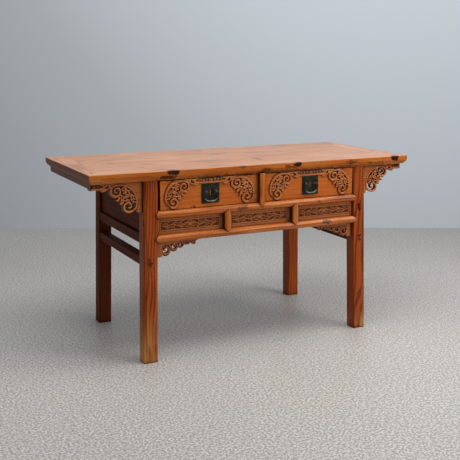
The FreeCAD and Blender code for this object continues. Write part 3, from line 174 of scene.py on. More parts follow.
# Knots, stains and lines of painted shade: ragged outlines that pull the rings round them
SPOT_JITTER = (0.055, 0.040, 0.040)
SPOT_JITTER_SCALE = 75.0
SPOT_JITTER_DETAIL = 3.0
SPOT_FADE = (0.08, 0.32)
RING_PULL = 5.0
# Colour of the stains, and of the spots that paint lines of shade
STAIN_AND_SHADE = srgb(30, 10, 5)

# Worn edges, and painted shade where little light gets in or the carver went deep, with some real grime in
# the creases at joints
WOOD_BEVEL = 3.2 * MM
WOOD_EDGE_GAIN = 5.0
WIDE_REACH = 28 * MM
NEAR_REACH = 7 * MM
WEAR_SHARE = 0.55
RUBBED_SHARE = 0.30
CORNER_SHADE = 0.62
CREASE_SHADE_AND_GRIME = 0.88
CARVED_SHADE = 0.93
SHADE_AND_GRIME_TONE = 0.22
SCUFF_DULLING = 0.22
SCUFF_GLOSS = 0.10
SHADE_AND_GRIME_DULLING = 0.3
COAT_ROUGHNESS = 0.28
RING_RELIEF = 0.35
FIBRE_RELIEF = 0.8
WOOD_BUMP = 0.22
WOOD_BUMP_DEPTH = 0.5 * MM

# Dark, middle, light and worn colour of each kind of wood, how dull it is, its
# specular level and its coat of wax
LOOKS = {
    # The top look is paler and pinker than the frame look: partly the worn top, partly painted sheen.
    "top": (srgb(80, 38, 17), srgb(168, 102, 58), srgb(206, 146, 98), srgb(222, 174, 132), 0.36, 0.14, 0.36),
    "frame": (srgb(96, 36, 9), srgb(174, 84, 24), srgb(206, 122, 46), srgb(236, 182, 120), 0.25, 0.38, 0.0),
    "drawer": (srgb(92, 30, 6), srgb(184, 86, 26), srgb(214, 120, 48), srgb(228, 168, 108), 0.36, 0.18, 0.0),
    "leg": (srgb(66, 19, 4), srgb(140, 55, 14), srgb(176, 86, 28), srgb(210, 148, 84), 0.36, 0.16, 0.0),
    "carved": (srgb(84, 30, 8), srgb(178, 90, 32), srgb(212, 126, 58), srgb(242, 194, 140), 0.26, 0.34, 0.35),
    "waist": (srgb(84, 34, 12), srgb(176, 94, 44), srgb(204, 124, 68), srgb(226, 164, 112), 0.40, 0.20, 0.0),
    # The dark look is the darker wood of the sides with painted shade in it; on the rear left leg it is
    # painted shade.
    "dark": (srgb(46, 16, 6), srgb(90, 38, 17), srgb(108, 52, 26), srgb(138, 80, 48), 0.50, 0.06, 0.0),
    # The end look is darker than the frame look: painted shade on the table's ends.
    "end": (srgb(56, 22, 9), srgb(112, 52, 22), srgb(138, 74, 38), srgb(172, 116, 78), 0.32, 0.12, 0.0),
    "hidden": (srgb(78, 42, 20), srgb(128, 80, 46), srgb(152, 102, 62), srgb(172, 128, 86), 0.66, 0.24, 0.0),
}


def wood(name, look, along, heart, seed, spots=(), bands=0.26, carved=(1.6, 4.0), sides=None, feet=0.0):
    """Waxed wood with its grain along one axis. Heart is the pith's place across the
    grain, spots are knots, stains and lines of painted shade: (centre, radii, darkness),
    carved is how many mm the carver went down where the painted shade in the carving
    starts and is full, sides is another look for what doesn't face up, and feet is how
    high up a leg its foot is scuffed. Shade in corners, creases and carving is painted
    into the colour."""
    dark, middle, light, worn, dullness, specular, wax = LOOKS[look]
    material, s, place = new_material(name)
    axes = s.node("ShaderNodeSeparateXYZ", {0: place}).outputs
    run, side, rise = (axes[index] for index in GRAIN_ORDER[along])
    run = s.maths("ADD", run, seed * SEED_SHIFT)

    def grain(lengthwise, across, detail, roughness):
        """Noise drawn out along the grain."""
        stretched = s.combine(s.maths("MULTIPLY", run, lengthwise), s.maths("MULTIPLY", side, across),
                              s.maths("MULTIPLY", rise, across))
        return s.noise(stretched, 1.0, detail, roughness)

    bend = grain(*BEND_NOISE)
    streaks = grain(*STREAK_NOISE)
    fibres = grain(*FIBRE_NOISE)
    patches = grain(*PATCH_NOISE)
    scuffs = grain(*SCUFF_NOISE)

    out_side = s.maths("SUBTRACT", side, heart[0])
    out_rise = s.maths("SUBTRACT", rise, heart[1])
    from_heart = s.maths("SQRT", s.maths("ADD", s.maths("MULTIPLY", out_side, out_side),
                                         s.maths("MULTIPLY", out_rise, out_rise)))
    rings = s.maths("MULTIPLY_ADD", bend, RING_SWIRL, s.maths("DIVIDE", from_heart, RING_PITCH))

    jitter = s.node("ShaderNodeTexNoise", {"Vector": place, "Scale": SPOT_JITTER_SCALE,
                                           "Detail": SPOT_JITTER_DETAIL}).outputs[1]
    jitter = s.node("ShaderNodeVectorMath", {0: jitter, 1: (0.5, 0.5, 0.5)},
                    operation="SUBTRACT").outputs[0]
    ragged = s.node("ShaderNodeVectorMath", {0: jitter, 1: SPOT_JITTER, 2: place},
                    operation="MULTIPLY_ADD").outputs[0]
    stain_and_shade = None
    for centre, radii, darkness in spots:
        inside = s.spot(ragged, centre, radii)
        rings = s.maths("MULTIPLY_ADD", inside, RING_PULL, rings)
        depth = s.maths("MULTIPLY", s.band(inside, *SPOT_FADE), darkness)
        stain_and_shade = depth if stain_and_shade is None else s.maths("MAXIMUM", stain_and_shade, depth)

    wave = s.maths("SINE", s.maths("MULTIPLY", rings, 2 * math.pi))
    wave = s.maths("POWER", s.maths("MULTIPLY_ADD", wave, 0.5, 0.5), RING_SHARPNESS)
    tone = s.maths("MULTIPLY_ADD", wave, -bands,
                   s.maths("MULTIPLY_ADD", streaks, STREAK_WEIGHT, STREAK_LEVEL))
    tone = s.maths("MULTIPLY_ADD", patches, PATCH_WEIGHT, s.maths("SUBTRACT", tone, PATCH_MIDDLE),
                   clamp=True)
    colour = s.ramp(tone, list(zip(TONE_STOPS, (dark, middle, light))))
    normal = s.node("ShaderNodeNewGeometry").outputs["Normal"]
    # What faces up takes the main look and the sides take another: with the top look the upward faces are
    # paler and pinker, partly worn and partly painted sheen; with the end look the sides are darker, which is
    # painted shade.
    if sides:
        upward = s.band(s.node("ShaderNodeSeparateXYZ", {0: normal}).outputs[2], *UPWARD_FADE)
        side_colour = s.ramp(tone, list(zip(TONE_STOPS, LOOKS[sides][:3])))
        colour = s.mix(upward, side_colour, colour)
    pores = s.band(fibres, *PORE_FADE)
    colour = s.mix(s.maths("MULTIPLY", pores, PORE_SHARE), colour, dark)

    rounded, edge = s.rounded_edge(normal, WOOD_BEVEL, WOOD_EDGE_GAIN)
    around = s.openness(WIDE_REACH)
    beside = s.openness(NEAR_REACH)
    open_air = s.band(around, *OPEN_AIR_FADE)
    crease = s.maths("SUBTRACT", 1.0, s.band(beside, *CREASE_FADE))
    # The carved depth from the mesh sets where the painted shade in the carving starts and is full.
    painted_shade_depth = s.node("ShaderNodeAttribute", attribute_name="painted_shade_depth").outputs["Fac"]
    carved_down = s.band(painted_shade_depth, *carved)

    wear = s.maths("MULTIPLY", s.maths("MULTIPLY", edge, open_air), s.band(scuffs, *WEAR_FADE))
    colour = s.mix(s.maths("MULTIPLY", wear, WEAR_SHARE), colour, worn)
    rubbed = s.maths("MULTIPLY", s.band(patches, *RUBBED_PATCH_FADE), s.band(scuffs, *RUBBED_SCUFF_FADE))
    colour = s.mix(s.maths("MULTIPLY", rubbed, RUBBED_SHARE), colour, worn)
    if feet:
        low_down = s.maths("SUBTRACT", 1.0, s.band(axes[2], 0.0, feet))
        colour = s.mix(s.maths("MULTIPLY", low_down, s.band(patches, *FOOT_FADE)), colour, worn)
    # Painted shade: darker where the openness is low in corners, along creases and down in the carving; the
    # creases at joints also hold some real grime.
    shade_and_grime = s.maths("MULTIPLY", s.maths("SUBTRACT", 1.0, open_air), CORNER_SHADE)
    shade_and_grime = s.maths("MAXIMUM", shade_and_grime, s.maths("MULTIPLY", crease, CREASE_SHADE_AND_GRIME))
    shade_and_grime = s.maths("MAXIMUM", shade_and_grime, s.maths("MULTIPLY", carved_down, CARVED_SHADE))
    colour = s.mix(shade_and_grime, colour, tuple(value * SHADE_AND_GRIME_TONE for value in dark[:3]) + (1.0,))
    # Stains, and the spots that paint lines of shade, darken the colour.
    if stain_and_shade is not None:
        colour = s.mix(stain_and_shade, colour, STAIN_AND_SHADE)

    gloss = s.maths("MULTIPLY_ADD", scuffs, SCUFF_DULLING, dullness - SCUFF_GLOSS)
    gloss = s.maths("MULTIPLY_ADD", shade_and_grime, SHADE_AND_GRIME_DULLING, gloss, clamp=True)
    relief = s.maths("MULTIPLY_ADD", wave, RING_RELIEF,
                     s.maths("MULTIPLY_ADD", fibres, FIBRE_RELIEF, streaks))
    bump = s.node("ShaderNodeBump", {"Strength": WOOD_BUMP, "Distance": WOOD_BUMP_DEPTH, "Height": relief,
                                     "Normal": rounded}).outputs[0]
    shader = s.node("ShaderNodeBsdfPrincipled", {"Base Color": colour, "Roughness": gloss, "Normal": bump})
    shader.inputs["Specular IOR Level"].default_value = specular
    if sides:
        s.tree.links.new(s.maths("MULTIPLY", upward, wax), shader.inputs["Coat Weight"])
    else:
        shader.inputs["Coat Weight"].default_value = wax
    shader.inputs["Coat Roughness"].default_value = COAT_ROUGHNESS
    s.node("ShaderNodeOutputMaterial", {0: shader.outputs[0]})
    return material


BRONZE_STOPS = (0.30, 0.52, 0.74)
BRONZE_SPECKS = srgb(88, 76, 52)
BRONZE_RUBBED = srgb(150, 152, 128)
BRONZE_BEVEL = 1.2 * MM
BRONZE_EDGE_GAIN = 6.0
BRONZE_PATCH_SCALE = 55.0
BRONZE_SPECK_SCALE = 420.0
BRONZE_DETAIL = 4.0
SPECK_FADE = (0.54, 0.72)
SPECK_SHARE = 0.45
BRONZE_METALNESS = 0.55
SPECK_DULLING = 0.28
BRONZE_ROUGHNESS = 0.30
BRONZE_BUMP = 0.3
BRONZE_BUMP_DEPTH = 0.3 * MM


def bronze(name, stops, rub, pale=None, below=(0.0, 0.0)):
    """Dark bronze with three colours in its patches, rubbed paler along its edges. It
    turns to three pale colours as it goes down between two heights."""
    material, s, place = new_material(name)
    patches = s.noise(place, BRONZE_PATCH_SCALE, BRONZE_DETAIL)
    specks = s.noise(place, BRONZE_SPECK_SCALE, BRONZE_DETAIL)
    colour = s.ramp(patches, list(zip(BRONZE_STOPS, stops)))
    if pale:
        handled = s.band(s.node("ShaderNodeSeparateXYZ", {0: place}).outputs[2], *below)
        colour = s.mix(handled, s.ramp(patches, list(zip(BRONZE_STOPS, pale))), colour)
    speckled = s.maths("MULTIPLY", s.band(specks, *SPECK_FADE), SPECK_SHARE)
    colour = s.mix(speckled, colour, BRONZE_SPECKS)
    normal = s.node("ShaderNodeNewGeometry").outputs["Normal"]
    rounded, edge = s.rounded_edge(normal, BRONZE_BEVEL, BRONZE_EDGE_GAIN)
    colour = s.mix(s.maths("MULTIPLY", edge, rub), colour, BRONZE_RUBBED)
    gloss = s.maths("MULTIPLY_ADD", specks, SPECK_DULLING, BRONZE_ROUGHNESS)
    bump = s.node("ShaderNodeBump", {"Strength": BRONZE_BUMP, "Distance": BRONZE_BUMP_DEPTH, "Height": specks,
                                     "Normal": rounded}).outputs[0]
    shader = s.node("ShaderNodeBsdfPrincipled", {"Base Color": colour, "Roughness": gloss, "Normal": bump})
    shader.inputs["Metallic"].default_value = BRONZE_METALNESS
    s.node("ShaderNodeOutputMaterial", {0: shader.outputs[0]})
    return material


# Meshes
FLAT_WITHIN = 0.02 * MM
CUT_MARGIN = 0.05
CARVED_CREASE = math.radians(55)
TURNED_CREASE = math.radians(50)


def new_piece(name, vertices, faces, material, smooth=True):
    mesh = bpy.data.meshes.new(name)
    mesh.from_pydata(vertices, [], faces)
    mesh.validate()
    mesh.update()
    mesh.polygons.foreach_set("use_smooth", [smooth] * len(mesh.polygons))
    mesh.materials.append(material)
    piece = bpy.data.objects.new(name, mesh)
    bpy.context.scene.collection.objects.link(piece)
    return piece


def stand_for(piece, node, body):
    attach(piece, body)
    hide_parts(node)


def board_outline(node):
    """Outer outline of a board's front face, as a loop of (x, z) points."""
    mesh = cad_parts[node].data
    mesh.calc_loop_triangles()
    front = node_box(node)[0].y
    places = [tuple(round(value, 6) for value in vertex.co) for vertex in mesh.vertices]
    seen = {}
    for triangle in mesh.loop_triangles:
        corners = [places[number] for number in triangle.vertices]
        if all(abs(corner[1] - front) < FLAT_WITHIN for corner in corners):
            for start, end in zip(corners, corners[1:] + corners[:1]):
                seen[(start, end)] = seen.get((start, end), 0) + 1
    after = {start: end for start, end in seen if (end, start) not in seen}
    loops = []
    while after:
        place, following = after.popitem()
        loop = [place]
        while following != loop[0]:
            loop.append(following)
            following = after.pop(following)
        loops.append(np.array([(x, z) for x, _, z in loop]))
    return max(loops, key=lambda loop: np.ptp(loop[:, 0]) * np.ptp(loop[:, 1]))


def tube_faces(rows, around):
    """Faces of a tube of rows of places, closed at both ends."""
    faces = [[row * around + step, row * around + (step + 1) % around,
              (row + 1) * around + (step + 1) % around, (row + 1) * around + step]
             for row in range(rows - 1) for step in range(around)]
    faces.append(list(range(around))[::-1])
    faces.append([(rows - 1) * around + step for step in range(around)])
    return faces


def depth_inside(loop, x, z):
    """Distance from places to a loop, above 0 inside it and below 0 outside."""
    nearest = np.full(x.shape, np.inf)
    crossings = np.zeros(x.shape, dtype=int)
    for (ax, az), (bx, bz) in zip(loop, np.roll(loop, -1, axis=0)):
        run, rise = bx - ax, bz - az
        along = np.clip(((x - ax) * run + (z - az) * rise) / (run * run + rise * rise), 0, 1)
        nearest = np.minimum(nearest, np.hypot(x - ax - along * run, z - az - along * rise))
        if ax != bx:
            crossings += ((ax > x) != (bx > x)) & (az + (x - ax) / run * rise > z)
    return np.where(crossings % 2 == 1, nearest, -nearest)


def carve(name, node, body, material, shape, step):
    """Board with a carved front. Shape tells at any places how far inside the wood they
    are, below 0 in a piercing, and how far the carver went down there."""
    low, high = node_box(node)
    columns = np.arange(low.x - step, high.x + 2 * step, step)
    rows = np.arange(low.z - step, high.z + 2 * step, step)
    x, z = np.meshgrid(columns, rows)
    reach = shape(x, z)[0]
    wood_here = reach > 0
    numbers = {}
    places = []

    def number(row, column, other=None):
        key = (row, column, other)
        if key not in numbers:
            numbers[key] = len(places)
            place = np.array((columns[column], rows[row]))
            if other is not None:
                share = reach[row, column] / (reach[row, column] - reach[other])
                ahead = np.array((columns[other[1]], rows[other[0]]))
                place = place + (ahead - place) * min(max(share, CUT_MARGIN), 1 - CUT_MARGIN)
            places.append(place)
        return numbers[key]

    faces = []
    walls = []
    busy = wood_here[:-1, :-1] | wood_here[1:, :-1] | wood_here[:-1, 1:] | wood_here[1:, 1:]
    for row, column in zip(*np.nonzero(busy)):
        corners = [(row, column), (row, column + 1), (row + 1, column + 1), (row + 1, column)]
        face = []
        cuts = []
        for here, ahead in zip(corners, corners[1:] + corners[:1]):
            if wood_here[here]:
                face.append(number(*here))
            if wood_here[here] != wood_here[ahead]:
                solid, empty = (here, ahead) if wood_here[here] else (ahead, here)
                cuts.append(number(*solid, empty))
                face.append(cuts[-1])
        faces.append(face)
        walls += [(start, end) for start, end in zip(face, face[1:] + face[:1])
                  if start in cuts and end in cuts]
    places = np.array(places)
    sink = shape(places[:, 0], places[:, 1])[1]
    count = len(places)
    vertices = [(x, low.y + down, z) for (x, z), down in zip(places, sink)]
    vertices += [(x, high.y, z) for x, z in places]
    faces += [[count + corner for corner in face[::-1]] for face in faces]
    faces += [[end, start, count + start, count + end] for start, end in walls]
    piece = new_piece(name, vertices, faces, material)
    piece.data.set_sharp_from_angle(angle=CARVED_CREASE)
    # The carved depth in mm, which the wood material turns into painted shade down in the carving; the back
    # gets none.
    painted_shade_depth = piece.data.attributes.new("painted_shade_depth", "FLOAT", "POINT")
    painted_shade_depth.data.foreach_set("value", np.concatenate([sink / MM, sink * 0]).astype(np.float32))
    stand_for(piece, node, body)


# Strokes whose half width is over the first share have a channel along their middle
WIDE_SHARE = 0.044
CHANNEL_SHARE = 0.16
CHANNEL_START = 0.90
CHANNEL_SPAN = 0.10

# Steps along a scroll are this share of its half width, and a leaf swells from one
# share of a half turn over another
SCROLL_STEP_SHARE = 0.22
STROKE_STEPS = 24
SWELL_START = 0.14
SWELL_SPAN = 0.80


# Strokes of the carver: rows of place outward, place down and half width
def scroll(outward, down, radii, angles, widths):
    """Stroke along a spiral. Angles are degrees, anticlockwise where outward is right."""
    turn = math.radians(abs(angles[1] - angles[0])) * max(radii)
    share = np.linspace(0, 1, max(4, int(turn / (SCROLL_STEP_SHARE * min(widths)))))
    radius = radii[0] + (radii[1] - radii[0]) * share
    angle = np.radians(angles[0] + (angles[1] - angles[0]) * share)
    width = widths[0] * (1 - share) * (1 - 2 * share) + 4 * widths[1] * share * (1 - share)
    width += widths[2] * share * (2 * share - 1)
    return np.stack([outward + radius * np.cos(angle), down - radius * np.sin(angle), width], axis=1)


def leaf(start, tip, bow, width):
    """Stroke that swells and comes to a point."""
    share = np.linspace(0, 1, STROKE_STEPS)
    side = 4 * bow * share * (1 - share)
    run, fall = tip[0] - start[0], tip[1] - start[1]
    swell = width * np.sin(np.pi * (SWELL_START + SWELL_SPAN * share))
    outward = start[0] + run * share - fall * side
    down = start[1] + fall * share + run * side
    return np.stack([outward, down, swell], axis=1)


def swollen(strokes, outward, down):
    """How far places are inside the strokes, and how high the strokes stand there."""
    reach = np.full(outward.shape, -1.0)
    height = np.zeros(outward.shape)
    for stroke in strokes:
        margin = 2 * stroke[:, 2].max()
        low = stroke.min(axis=0) - margin
        high = stroke.max(axis=0) + margin
        near = (outward > low[0]) & (outward < high[0]) & (down > low[1]) & (down < high[1])
        away = np.hypot(outward[near][:, None] - stroke[:, 0], down[near][:, None] - stroke[:, 1])
        width = stroke[:, 2]
        reach[near] = np.maximum(reach[near], (width - away).max(axis=1))
        dome = np.sqrt(np.clip(1 - (away / width) ** 2, 0, 1)).max(axis=1)
        channel = CHANNEL_SHARE * np.clip((dome - CHANNEL_START) / CHANNEL_SPAN, 0, 1)
        channel = channel * (width.max() > WIDE_SHARE)
        height[near] = np.maximum(height[near], dome - channel)
    return reach, height


# The mass of scrollwork: a C between two volutes, with small scrolls and leaves
# inside it. Every length is a share of the board's drop. Each scroll: centre, radii,
# angles, half widths. Each leaf: foot, tip, bow, half width.
PLAIN_HEIGHT_SHARE = 0.80
PLAIN_LIP_SHARE = 0.014
C_MIDDLE_SHARES = (0.735, 0.630)
C_OUTER_SHARE = 0.590
MASS_SCROLL_SHARES = (
    (0.735, 0.63, (0.55, 0.55), (80, 193), (0.04, 0.052, 0.046)),
    (0.835, 0.262, (0.174, 0.186), (92, -20), (0.04, 0.046, 0.048)),
    (0.835, 0.262, (0.186, 0.122), (-20, -165), (0.048, 0.046, 0.04)),
    (0.835, 0.262, (0.122, 0.062), (-165, -380), (0.04, 0.038, 0.036)),
    (0.835, 0.262, (0.062, 0.04), (-380, -470), (0.036, 0.034, 0.03)),
    (0.45, 0.768, (0.252, 0.176), (178, 232), (0.046, 0.046, 0.046)),
    (0.45, 0.768, (0.176, 0.164), (232, 340), (0.046, 0.048, 0.046)),
    (0.45, 0.768, (0.164, 0.062), (340, 560), (0.046, 0.042, 0.036)),
    (0.45, 0.768, (0.062, 0.038), (560, 650), (0.036, 0.034, 0.03)),
    (0.505, 0.35, (0.092, 0.034), (40, 420), (0.034, 0.036, 0.03)),
    (0.615, 0.225, (0.07, 0.026), (220, -160), (0.03, 0.032, 0.026)),
    (0.35, 0.48, (0.074, 0.03), (300, -60), (0.03, 0.034, 0.028)),
    (0.585, 0.52, (0.082, 0.03), (100, 480), (0.03, 0.034, 0.028)),
    (0.735, 0.45, (0.064, 0.024), (230, -130), (0.026, 0.03, 0.026)),
    (0.68, 0.625, (0.06, 0.024), (60, 420), (0.026, 0.03, 0.026)),
    (0.48, 0.6, (0.054, 0.022), (250, -110), (0.024, 0.028, 0.024)),
    (1.15, 0.105, (0.086, 0.04), (200, 470), (0.026, 0.03, 0.024)),
)
MASS_LEAF_SHARES = (
    ((0.74, 0.48), (0.87, 0.56), 0.14, 0.05), ((0.64, 0.61), (0.75, 0.678), 0.14, 0.046),
    ((0.85, 0.43), (0.935, 0.446), 0.1, 0.042), ((1.01, 0.13), (1.2, 0.245), -0.12, 0.05),
    ((0.22, 0.64), (0.4, 0.56), 0.1, 0.036), ((0.42, 0.42), (0.54, 0.47), 0.1, 0.036),
    ((0.54, 0.3), (0.66, 0.34), 0.1, 0.034), ((0.29, 0.44), (0.43, 0.33), 0.1, 0.036),
    ((0.48, 0.27), (0.56, 0.13), 0.1, 0.034), ((0.62, 0.43), (0.74, 0.38), 0.1, 0.034),
    ((0.23, 0.56), (0.33, 0.52), 0.1, 0.03), ((0.4, 0.24), (0.47, 0.29), 0.1, 0.03),
    ((0.44, 0.52), (0.52, 0.56), 0.1, 0.03), ((0.7, 0.52), (0.64, 0.6), 0.1, 0.03),
    ((0.56, 0.42), (0.6, 0.46), 0.1, 0.028), ((0.31, 0.6), (0.34, 0.69), 0.1, 0.028),
)
MASS_HOLE_SHARES = (
    (1.15, 0.105, (0.046, 0.042), (150, 320), (0.018, 0.028, 0.018)),
    (1.31, 0.085, (0.022, 0.02), (200, 360), (0.016, 0.018, 0.014)),
)
ARM_START_SHARE = 1.42
ARM_PITCH_SHARE = 0.115
ARM_CURL_SHARES = (0.088, (0.042, 0.012), (0.013, 0.017, 0.013))
ARM_CURL_STARTS = (20, 200)
ARM_CURL_TURN = 480
ARM_FRET = (0.030, 0.146)
ARM_GROUND_SHARE = 0.42


def arm_curls(end):
    """Small running scrolls along an arm, each the other way up."""
    middle, radii, widths = ARM_CURL_SHARES
    curls = []
    for count, outward in enumerate(np.arange(ARM_START_SHARE, end, ARM_PITCH_SHARE)):
        start = ARM_CURL_STARTS[count % 2]
        curls.append(scroll(outward, middle, radii, (start, start + ARM_CURL_TURN), widths))
    return curls


MASS_STROKES = [scroll(*shares) for shares in MASS_SCROLL_SHARES]
MASS_STROKES += [leaf(*shares) for shares in MASS_LEAF_SHARES]
MASS_HOLES = [scroll(*shares) for shares in MASS_HOLE_SHARES]


def raised(strokes, holes, plain, outward, down, wood_reach, ground):
    """Reach and height of strokes with plain wood round them, pierced by holes. Ground
    is how high the plain wood stands."""
    stroke_reach, height = swollen(strokes, outward, down)
    reach = np.minimum(wood_reach, np.maximum(stroke_reach, plain))
    reach = np.minimum(reach, -swollen(holes, outward, down)[0])
    lip = np.clip(np.minimum(reach, plain) / PLAIN_LIP_SHARE, 0, 1)
    return reach, np.maximum(height, ground * np.sqrt(1 - (1 - lip) ** 2))


def mass_shape(loop, corners, outwards, top, drop, rise, end):
    """Shape of boards with one or two masses, each from its own corner outward."""
    strokes = MASS_STROKES + arm_curls(end)

    def shape(x, z):
        outward = np.min([np.where(way * (x - corner) > -drop, way * (x - corner), np.inf)
                          for corner, way in zip(corners, outwards)], axis=0) / drop
        down = (top - z) / drop
        plain = np.hypot(outward - C_MIDDLE_SHARES[0], down - C_MIDDLE_SHARES[1]) - C_OUTER_SHARE
        fret = (outward > ARM_START_SHARE - ARM_PITCH_SHARE / 2) & (down > ARM_FRET[0]) & (down < ARM_FRET[1])
        ground = np.where(fret, ARM_GROUND_SHARE, PLAIN_HEIGHT_SHARE)
        reach, height = raised(strokes, MASS_HOLES, plain, outward, down, depth_inside(loop, x, z) / drop,
                               ground)
        return reach, rise * (1 - height)

    return shape


# The brackets: a plain block at the leg, three volutes and a ring at the tip
BRACKET_BLOCK_SHARE = 0.40
BRACKET_HEAD_SHARE = 0.17
BRACKET_WEB_INSET = 0.02
BRACKET_WEB_HEIGHT = 0.50
BRACKET_SCROLL_SHARES = (
    (0.66, 0.56, (0.255, 0.235), (165, 335), (0.046, 0.056, 0.05)),
    (0.66, 0.56, (0.235, 0.075), (335, 590), (0.05, 0.048, 0.036)),
    (1.22, 0.375, (0.225, 0.205), (120, -110), (0.044, 0.05, 0.046)),
    (1.22, 0.375, (0.205, 0.055), (-110, -400), (0.046, 0.04, 0.032)),
    (1.72, 0.275, (0.175, 0.16), (100, -130), (0.038, 0.042, 0.038)),
    (1.72, 0.275, (0.16, 0.045), (-130, -420), (0.038, 0.034, 0.028)),
    (2.12, 0.185, (0.115, 0.03), (110, -280), (0.03, 0.032, 0.026)),
)
BRACKET_LEAF_SHARES = (
    ((0.42, 0.2), (0.56, 0.36), 0.14, 0.06), ((0.9, 0.3), (1.04, 0.56), -0.16, 0.06),
    ((1.4, 0.48), (1.56, 0.33), 0.14, 0.05), ((1.86, 0.36), (1.98, 0.2), 0.14, 0.042),
    ((0.42, 0.62), (0.5, 0.86), 0.1, 0.06),
    ((0.84, 0.16), (1.000, 0.33), 0.1, 0.05),
)
BRACKET_RING_SHARES = (2.6, 0.24, (0.102, 0.102), (0, 360), (0.042, 0.042, 0.042))
RING_EYE_SHARE = 0.060


def bracket_shape(loop, corner, way, top, drop, rise):
    strokes = [scroll(*shares) for shares in BRACKET_SCROLL_SHARES]
    strokes += [leaf(*shares) for shares in BRACKET_LEAF_SHARES]
    ring = [scroll(*BRACKET_RING_SHARES)]

    def shape(x, z):
        outward = way * (x - corner) / drop
        down = (top - z) / drop
        inside = depth_inside(loop, x, z) / drop
        block = np.maximum(BRACKET_BLOCK_SHARE - outward, BRACKET_HEAD_SHARE - down)
        web = np.min([np.hypot(outward - row[0], down - row[1]) - row[2][0]
                      for row in BRACKET_SCROLL_SHARES[::2]], axis=0)
        web = np.minimum(web, inside - BRACKET_WEB_INSET)
        ground = np.where(block > 0, PLAIN_HEIGHT_SHARE, BRACKET_WEB_HEIGHT)
        reach, height = raised(strokes, [], np.maximum(block, web), outward, down, inside, ground)
        ring_reach, ring_height = swollen(ring, outward, down)
        eye = RING_EYE_SHARE - np.hypot(outward - BRACKET_RING_SHARES[0], down - BRACKET_RING_SHARES[1])
        reach = np.minimum(np.maximum(reach, ring_reach), -eye)
        return reach, rise * (1 - np.maximum(height, ring_height))

    return shape


# Waist panels: a flat margin, a groove and a bead round a sunk ground of scrolls
WAIST_MARGIN = 15 * MM
WAIST_GROOVE = 3.5 * MM
WAIST_GROOVE_DEPTH = 2.6 * MM
WAIST_GROOVE_CURVE = 0.6
WAIST_BEAD = 3.6 * MM
WAIST_BEAD_DEPTH = 0.7 * MM
WAIST_SINK = 3.2 * MM
WAIST_SLOPE = 1.2 * MM
WAIST_RELIEF_SHARE = 0.92

# The vine: its stem sways about the middle and curls once in each bend, where leaves
# stand round the curl, and six petals mark the middle. Angles are degrees
VINE_BENDS = 4
VINE_SPREAD_SHARE = 0.96
STEM_REACH_SHARE = 0.97
STEM_SWAY_SHARE = 0.17
STEM_CALM_SHARE = 0.5
STEM_WIDTH = 1.9 * MM
STEM_STEPS = 150
CURL_SHARE = 0.40
CURL_LOSS_SHARE = 0.06
CURL_RISE_SHARE = 0.05
CURL_EYE_SHARE = 0.16
CURL_TURN = 560
CURL_WIDTHS = (1.5 * MM, 2.1 * MM, 1.5 * MM)
CURL_LEAVES = 5
LEAF_START = 35
LEAF_STEP = 52
LEAF_SHARE = 0.42
LEAF_LEAN = 0.5
LEAF_BOW = 0.18
LEAF_WIDTH = 2.5 * MM
PETALS = 6
PETAL_FOOT_SHARE = 0.2
PETAL_REACH = 9 * MM
PETAL_BOW = 0.05
PETAL_WIDTH = 3 * MM


def vine(half, height):
    """Strokes of a vine that curls into each of its bends, on both halves."""
    strokes = []
    pitch = half * VINE_SPREAD_SHARE / VINE_BENDS
    share = np.linspace(0, 1, STEM_STEPS)
    sway = STEM_SWAY_SHARE * height * np.sin(math.pi * share * VINE_BENDS)
    sway = sway * (1 - STEM_CALM_SHARE * share ** 3)
    for mirror in (-1, 1):
        strokes.append(np.stack([mirror * half * STEM_REACH_SHARE * share, sway,
                                 np.full(STEM_STEPS, STEM_WIDTH)], axis=1))
        for bend in range(VINE_BENDS):
            up = 1 if bend % 2 else -1
            middle = mirror * pitch * (bend + 0.5)
            level = up * CURL_RISE_SHARE * height
            size = CURL_SHARE * pitch * (1 - CURL_LOSS_SHARE * bend)
            start = 90 * up
            strokes.append(scroll(middle, level, (size, CURL_EYE_SHARE * size),
                                  (start, start + mirror * up * CURL_TURN), CURL_WIDTHS))
            for count in range(CURL_LEAVES):
                lean = math.radians(start + mirror * up * (LEAF_START + LEAF_STEP * count))
                foot = (middle + size * math.cos(lean), level - size * math.sin(lean))
                tip = (foot[0] + LEAF_SHARE * pitch * math.cos(lean + LEAF_LEAN),
                       foot[1] - LEAF_SHARE * pitch * math.sin(lean + LEAF_LEAN))
                strokes.append(leaf(foot, tip, LEAF_BOW, LEAF_WIDTH))
    for petal in range(PETALS):
        angle = petal * 2 * math.pi / PETALS
        tip = (PETAL_REACH * math.cos(angle), PETAL_REACH * math.sin(angle))
        foot = (PETAL_FOOT_SHARE * tip[0], PETAL_FOOT_SHARE * tip[1])
        strokes.append(leaf(foot, tip, PETAL_BOW, PETAL_WIDTH))
    return strokes


def waist_shape(node):
    low, high = node_box(node)
    middle = (low + high) / 2
    half = (high.x - low.x) / 2
    height = high.z - low.z
    edge = WAIST_MARGIN + WAIST_GROOVE
    inner = edge + WAIST_BEAD
    strokes = vine(half - inner, height - 2 * inner)

    def shape(x, z):
        rim = np.minimum(half - np.abs(x - middle.x), height / 2 - np.abs(z - middle.z))
        groove = np.clip(1 - np.abs(rim - WAIST_MARGIN - WAIST_GROOVE / 2) / (WAIST_GROOVE / 2), 0, 1)
        bead = np.clip(1 - ((rim - edge - WAIST_BEAD / 2) / (WAIST_BEAD / 2)) ** 2, 0, 1)
        ground = np.clip((rim - inner) / WAIST_SLOPE, 0, 1)
        relief = swollen(strokes, x - middle.x, z - middle.z)[1] * (ground > 0)
        sink = WAIST_GROOVE_DEPTH * groove ** WAIST_GROOVE_CURVE
        sink = sink + WAIST_BEAD_DEPTH * (1 - bead) * (rim > edge)
        return rim, sink + WAIST_SINK * ground * (1 - WAIST_RELIEF_SHARE * relief)

    return shape


